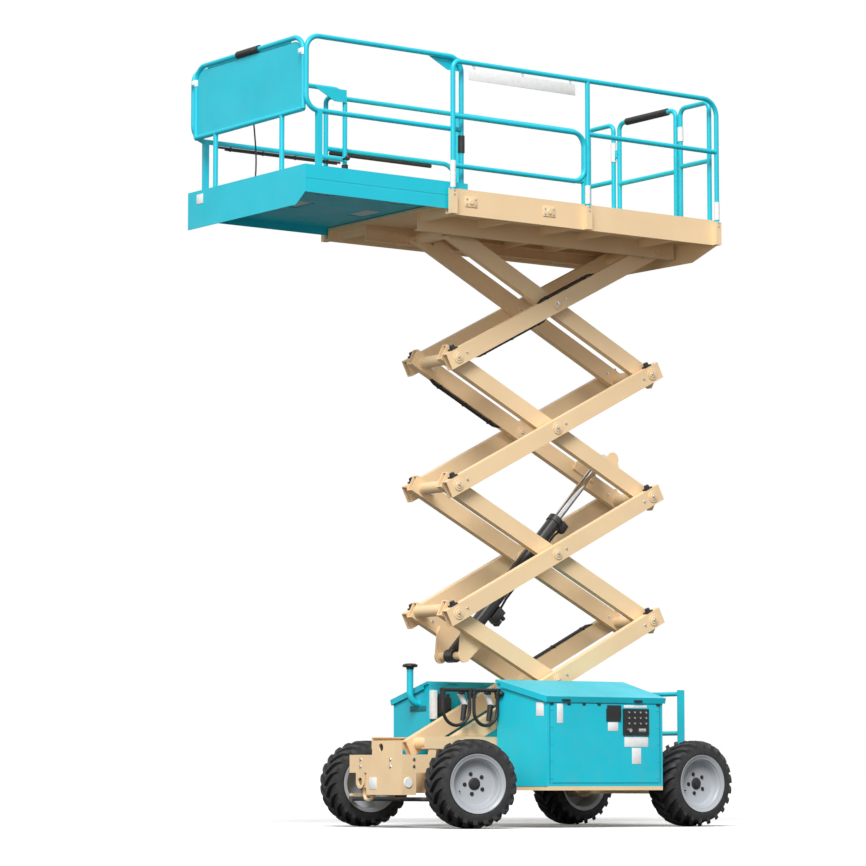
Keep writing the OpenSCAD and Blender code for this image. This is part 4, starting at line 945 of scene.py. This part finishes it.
class LIFT_OT_cords(bpy.types.Operator):
    """Makes the hose loops and filters beside the near hood and the lead of the platform controls"""

    bl_idname = "lift.cords"
    bl_label = "Hoses and Leads"

    def execute(self, context):
        top, drop, across = 1.030, 0.265, -0.390
        width = 0.026
        spans = ((-0.790, -0.570), (-1.080, -0.830))
        rail = bmesh.new()
        add_rod(rail, place(-1.100, across, top), place(-0.545, across, top), 0.015, steps=20)
        for ends in spans:
            for x in ends:
                add_rod(rail, place(x, across, top - 0.060), place(x, across, top + 0.015), 0.019, steps=6)
                add_rod(rail, place(x, across, top - 0.030), place(x, across, top - 0.012), 0.023, steps=20)
        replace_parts(fit(rail, "hose_rail", "plastic", "chassis"), "front_hoses")
        pale, black = bmesh.new(), bmesh.new()
        for x in (-0.862, -0.618):
            head, waist = place(x - 0.022, -0.343, 1.005), place(x + 0.026, -0.343, 0.912)
            foot = place(x, -0.343, 0.800)
            add_rod(pale, head, waist, 0.021, steps=28)
            add_rod(black, waist.lerp(head, 0.12), foot, 0.0235, steps=28, end_radius=0.019)
            add_rod(black, head, head.lerp(waist, -0.10), 0.014, steps=20)
            add_box(black, head - Vector((0.012, 0.050, 0.008)), head + Vector((0.012, 0.012, 0.018)), 0.003)
        fit(pale, "hose_filters", "label", "chassis")
        fit(black, "hose_filter_bowls", "plastic", "chassis")
        for number, (front, back) in enumerate(spans):
            radius = (back - front) / 2 - 0.0003
            low = top - drop
            middle = (front + back) / 2
            line = [place(front, across, top), place(front, across, (top + low + radius) / 2)]
            line += [place(middle - radius * math.cos(a), across, low + radius - radius * math.sin(a))
                     for a in (math.pi * i / 24 for i in range(25))]
            line += [place(back, across, (top + low + radius) / 2), place(back, across, top)]
            add_cord(f"front_hose_{number}", line, width, "chassis")

        low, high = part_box("platform_controls")
        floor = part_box("extension_floor")[1].z
        start = Vector(((low.x + high.x) / 2, (low.y + high.y) / 2, low.z + 0.004))
        end = Vector((start.x + 0.030, start.y + 0.025, floor + 0.002))
        lead = []
        for i in range(20):
            share = i / 19
            sway = Vector((0.030 * math.sin(math.pi * share), 0.014 * math.sin(2 * math.pi * share), 0))
            lead.append(start.lerp(end, share) + sway)
        gland = bmesh.new()
        add_rod(gland, end - Vector((0, 0, 0.0015)), end + Vector((0, 0, 0.012)), 0.018, steps=24,
                end_radius=0.011)
        fit(gland, "lead_gland", "plastic", "extension")
        add_cord("control_lead", lead, 0.012, "extension")
        return {"FINISHED"}


# Platform: outer face of the toe boards, line of the side rails, and x of the side posts
TOE_BOARD_FACE = 0.816
SIDE_RAIL = 0.839
RAIL_POSTS = (-1.315, -0.031, 1.271)


class LIFT_OT_platform(bpy.types.Operator):
    """Adds the sleeves, plates, sign strip and bolts of the main platform and gate"""

    bl_idname = "lift.platform"
    bl_label = "Platform Trim"

    def execute(self, context):
        plates, bolts, white = bmesh.new(), bmesh.new(), bmesh.new()
        for x in (-1.131, -0.391):
            for side in (-1, 1):
                y = side * TOE_BOARD_FACE
                inner, outer = sorted((y, y + side * 0.006))
                add_plate(plates, place(x - 0.058, inner, 4.614), place(x + 0.058, outer, 4.690), 0.002)
                add_rod(plates, place(x, y, 4.652), place(x, y + side * 0.014, 4.652), 0.022, steps=28,
                        end_radius=0.018)
                for shift in (-0.040, 0.040):
                    for z in (4.632, 4.672):
                        add_bolt(bolts, place(x + shift, y + side * 0.006, z), (0, side, 0), 0.012)
        fit(plates, "toe_plates", "cream", "platform")
        for x in RAIL_POSTS:
            for side in (-1, 1):
                for z in (4.690, 4.720):
                    add_bolt(bolts, place(x, side * 0.8615, z), (0, side, 0), 0.013)
        fit(bolts, "platform_bolts", "zinc", "platform")
        add_box(white, place(-1.165, -0.842, 5.572), place(-0.152, -0.836, 5.660), 0.001)
        for x in (-1.12, -0.66, -0.20):
            add_box(white, place(x - 0.010, -0.843, 5.655), place(x + 0.010, -0.835, 5.685), 0.001)
        for x, top in zip(RAIL_POSTS, (4.945, 4.885, 4.885)):
            for side in (-1, 1):
                y = side * SIDE_RAIL
                add_rod(white, place(x, y, 4.744), place(x, y, top), 0.0218, steps=28)
        for y, z0, z1 in ((0.436, 5.392, 5.549), (-0.410, 5.436, 5.550)):
            add_rod(white, place(1.2647, y, z0), place(1.2647, y, z1), 0.0235, steps=28)
        fit(white, "rail_sleeves", "label", "platform")
        return {"FINISHED"}


# Extension: line of the side rails, height of the middle rail, and radius of the rails' tube
EXTENSION_RAIL = 0.766
EXTENSION_MID_RAIL = 5.199
RAIL_RADIUS = 0.019


class LIFT_OT_extension(bpy.types.Operator):
    """Adds the clamps, cable, controls, label and panel edge of the deck extension"""

    bl_idname = "lift.extension"
    bl_label = "Extension Trim"

    def execute(self, context):
        white, dark = bmesh.new(), bmesh.new()
        for y in (-0.728, 0.728):
            add_rod(white, place(-2.5847, y, 5.606), place(-2.5847, y, 5.654), 0.0240, steps=28)
            add_box(white, place(-2.625, y - 0.012, 5.614), place(-2.600, y + 0.012, 5.646), 0.002)
        add_plate(white, place(-2.6135, 0.582, 4.689), place(-2.6085, 0.668, 4.762))
        fit(white, "extension_sleeves", "label", "extension")
        z = EXTENSION_MID_RAIL - RAIL_RADIUS - 0.011
        add_tube(dark, [place(x, EXTENSION_RAIL, z) for x in (-2.400, -2.0, -1.6, -1.230)], 0.0090)
        add_tube(dark, [place(x, EXTENSION_RAIL, z - 0.014) for x in (-2.300, -1.9, -1.5, -1.260)], 0.0060)
        for x in (-2.25, -1.95, -1.65, -1.35):
            add_box(dark, place(x - 0.005, 0.755, z - 0.022), place(x + 0.005, 0.777, z + 0.010), 0.001)
        level = EXTENSION_MID_RAIL
        add_rod(dark, place(-1.211, 0.745, level), place(-1.211, 0.700, level), 0.009, steps=16)
        add_ball(dark, place(-1.211, 0.690, level), 0.021)
        low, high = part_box("platform_controls")
        middle = (low + high) / 2
        y = middle.y - 0.05
        add_rod(dark, (middle.x, y, high.z - 0.002), (middle.x, y, high.z + 0.012), 0.026, steps=28,
                end_radius=0.016)
        add_ball(dark, (middle.x, y, high.z + 0.020), 0.015)
        for i in range(3):
            y = middle.y + 0.03 + i * 0.030
            add_rod(dark, (middle.x, y, high.z - 0.002), (middle.x, y, high.z + 0.012), 0.011, steps=20)
        fit(dark, "extension_black_trim", "plastic", "extension")
        edge = bmesh.new()
        panel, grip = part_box("front_sheet"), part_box("hoop_grip")
        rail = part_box("front_hoop")[1].z - 2 * RAIL_RADIUS
        for y0, y1 in ((panel[0].y + 0.14, grip[0].y - 0.002), (grip[1].y + 0.002, panel[1].y - 0.14)):
            add_box(edge, (panel[0].x, y0, panel[1].z - 0.004), (panel[1].x, y1, rail + 0.002))
        fit(edge, "front_panel_edge", "turquoise", "extension")
        return {"FINISHED"}


class LIFT_PT_panel(bpy.types.Panel):
    """Shows a button for each step"""

    bl_idname = "LIFT_PT_panel"
    bl_label = "Scissor Lift"
    bl_space_type = "VIEW_3D"
    bl_region_type = "UI"
    bl_category = "Lift"

    def draw(self, context):
        for step in STEPS:
            self.layout.operator(step.bl_idname)


GROUPS = (LiftFinish, LiftTrim, LiftView)
STEPS = (LIFT_OT_stage, LIFT_OT_cords, LIFT_OT_paint, LIFT_OT_tyres, LIFT_OT_rims, LIFT_OT_arms,
         LIFT_OT_cylinder, LIFT_OT_hoods, LIFT_OT_nose, LIFT_OT_platform, LIFT_OT_extension)


def register():
    for item in (*GROUPS, *STEPS, LIFT_PT_panel):
        bpy.utils.register_class(item)
    bpy.types.Scene.lift_finish = PointerProperty(type=LiftFinish)
    bpy.types.Scene.lift_trim = PointerProperty(type=LiftTrim)
    bpy.types.Scene.lift_view = PointerProperty(type=LiftView)


def unregister():
    del bpy.types.Scene.lift_view
    del bpy.types.Scene.lift_trim
    del bpy.types.Scene.lift_finish
    for item in reversed((*GROUPS, *STEPS, LIFT_PT_panel)):
        bpy.utils.unregister_class(item)


def main():
    """Runs every step in order."""
    register()
    for step in STEPS:
        group, name = step.bl_idname.split(".")
        getattr(getattr(bpy.ops, group), name)()


if __name__ == "__main__":
    main()
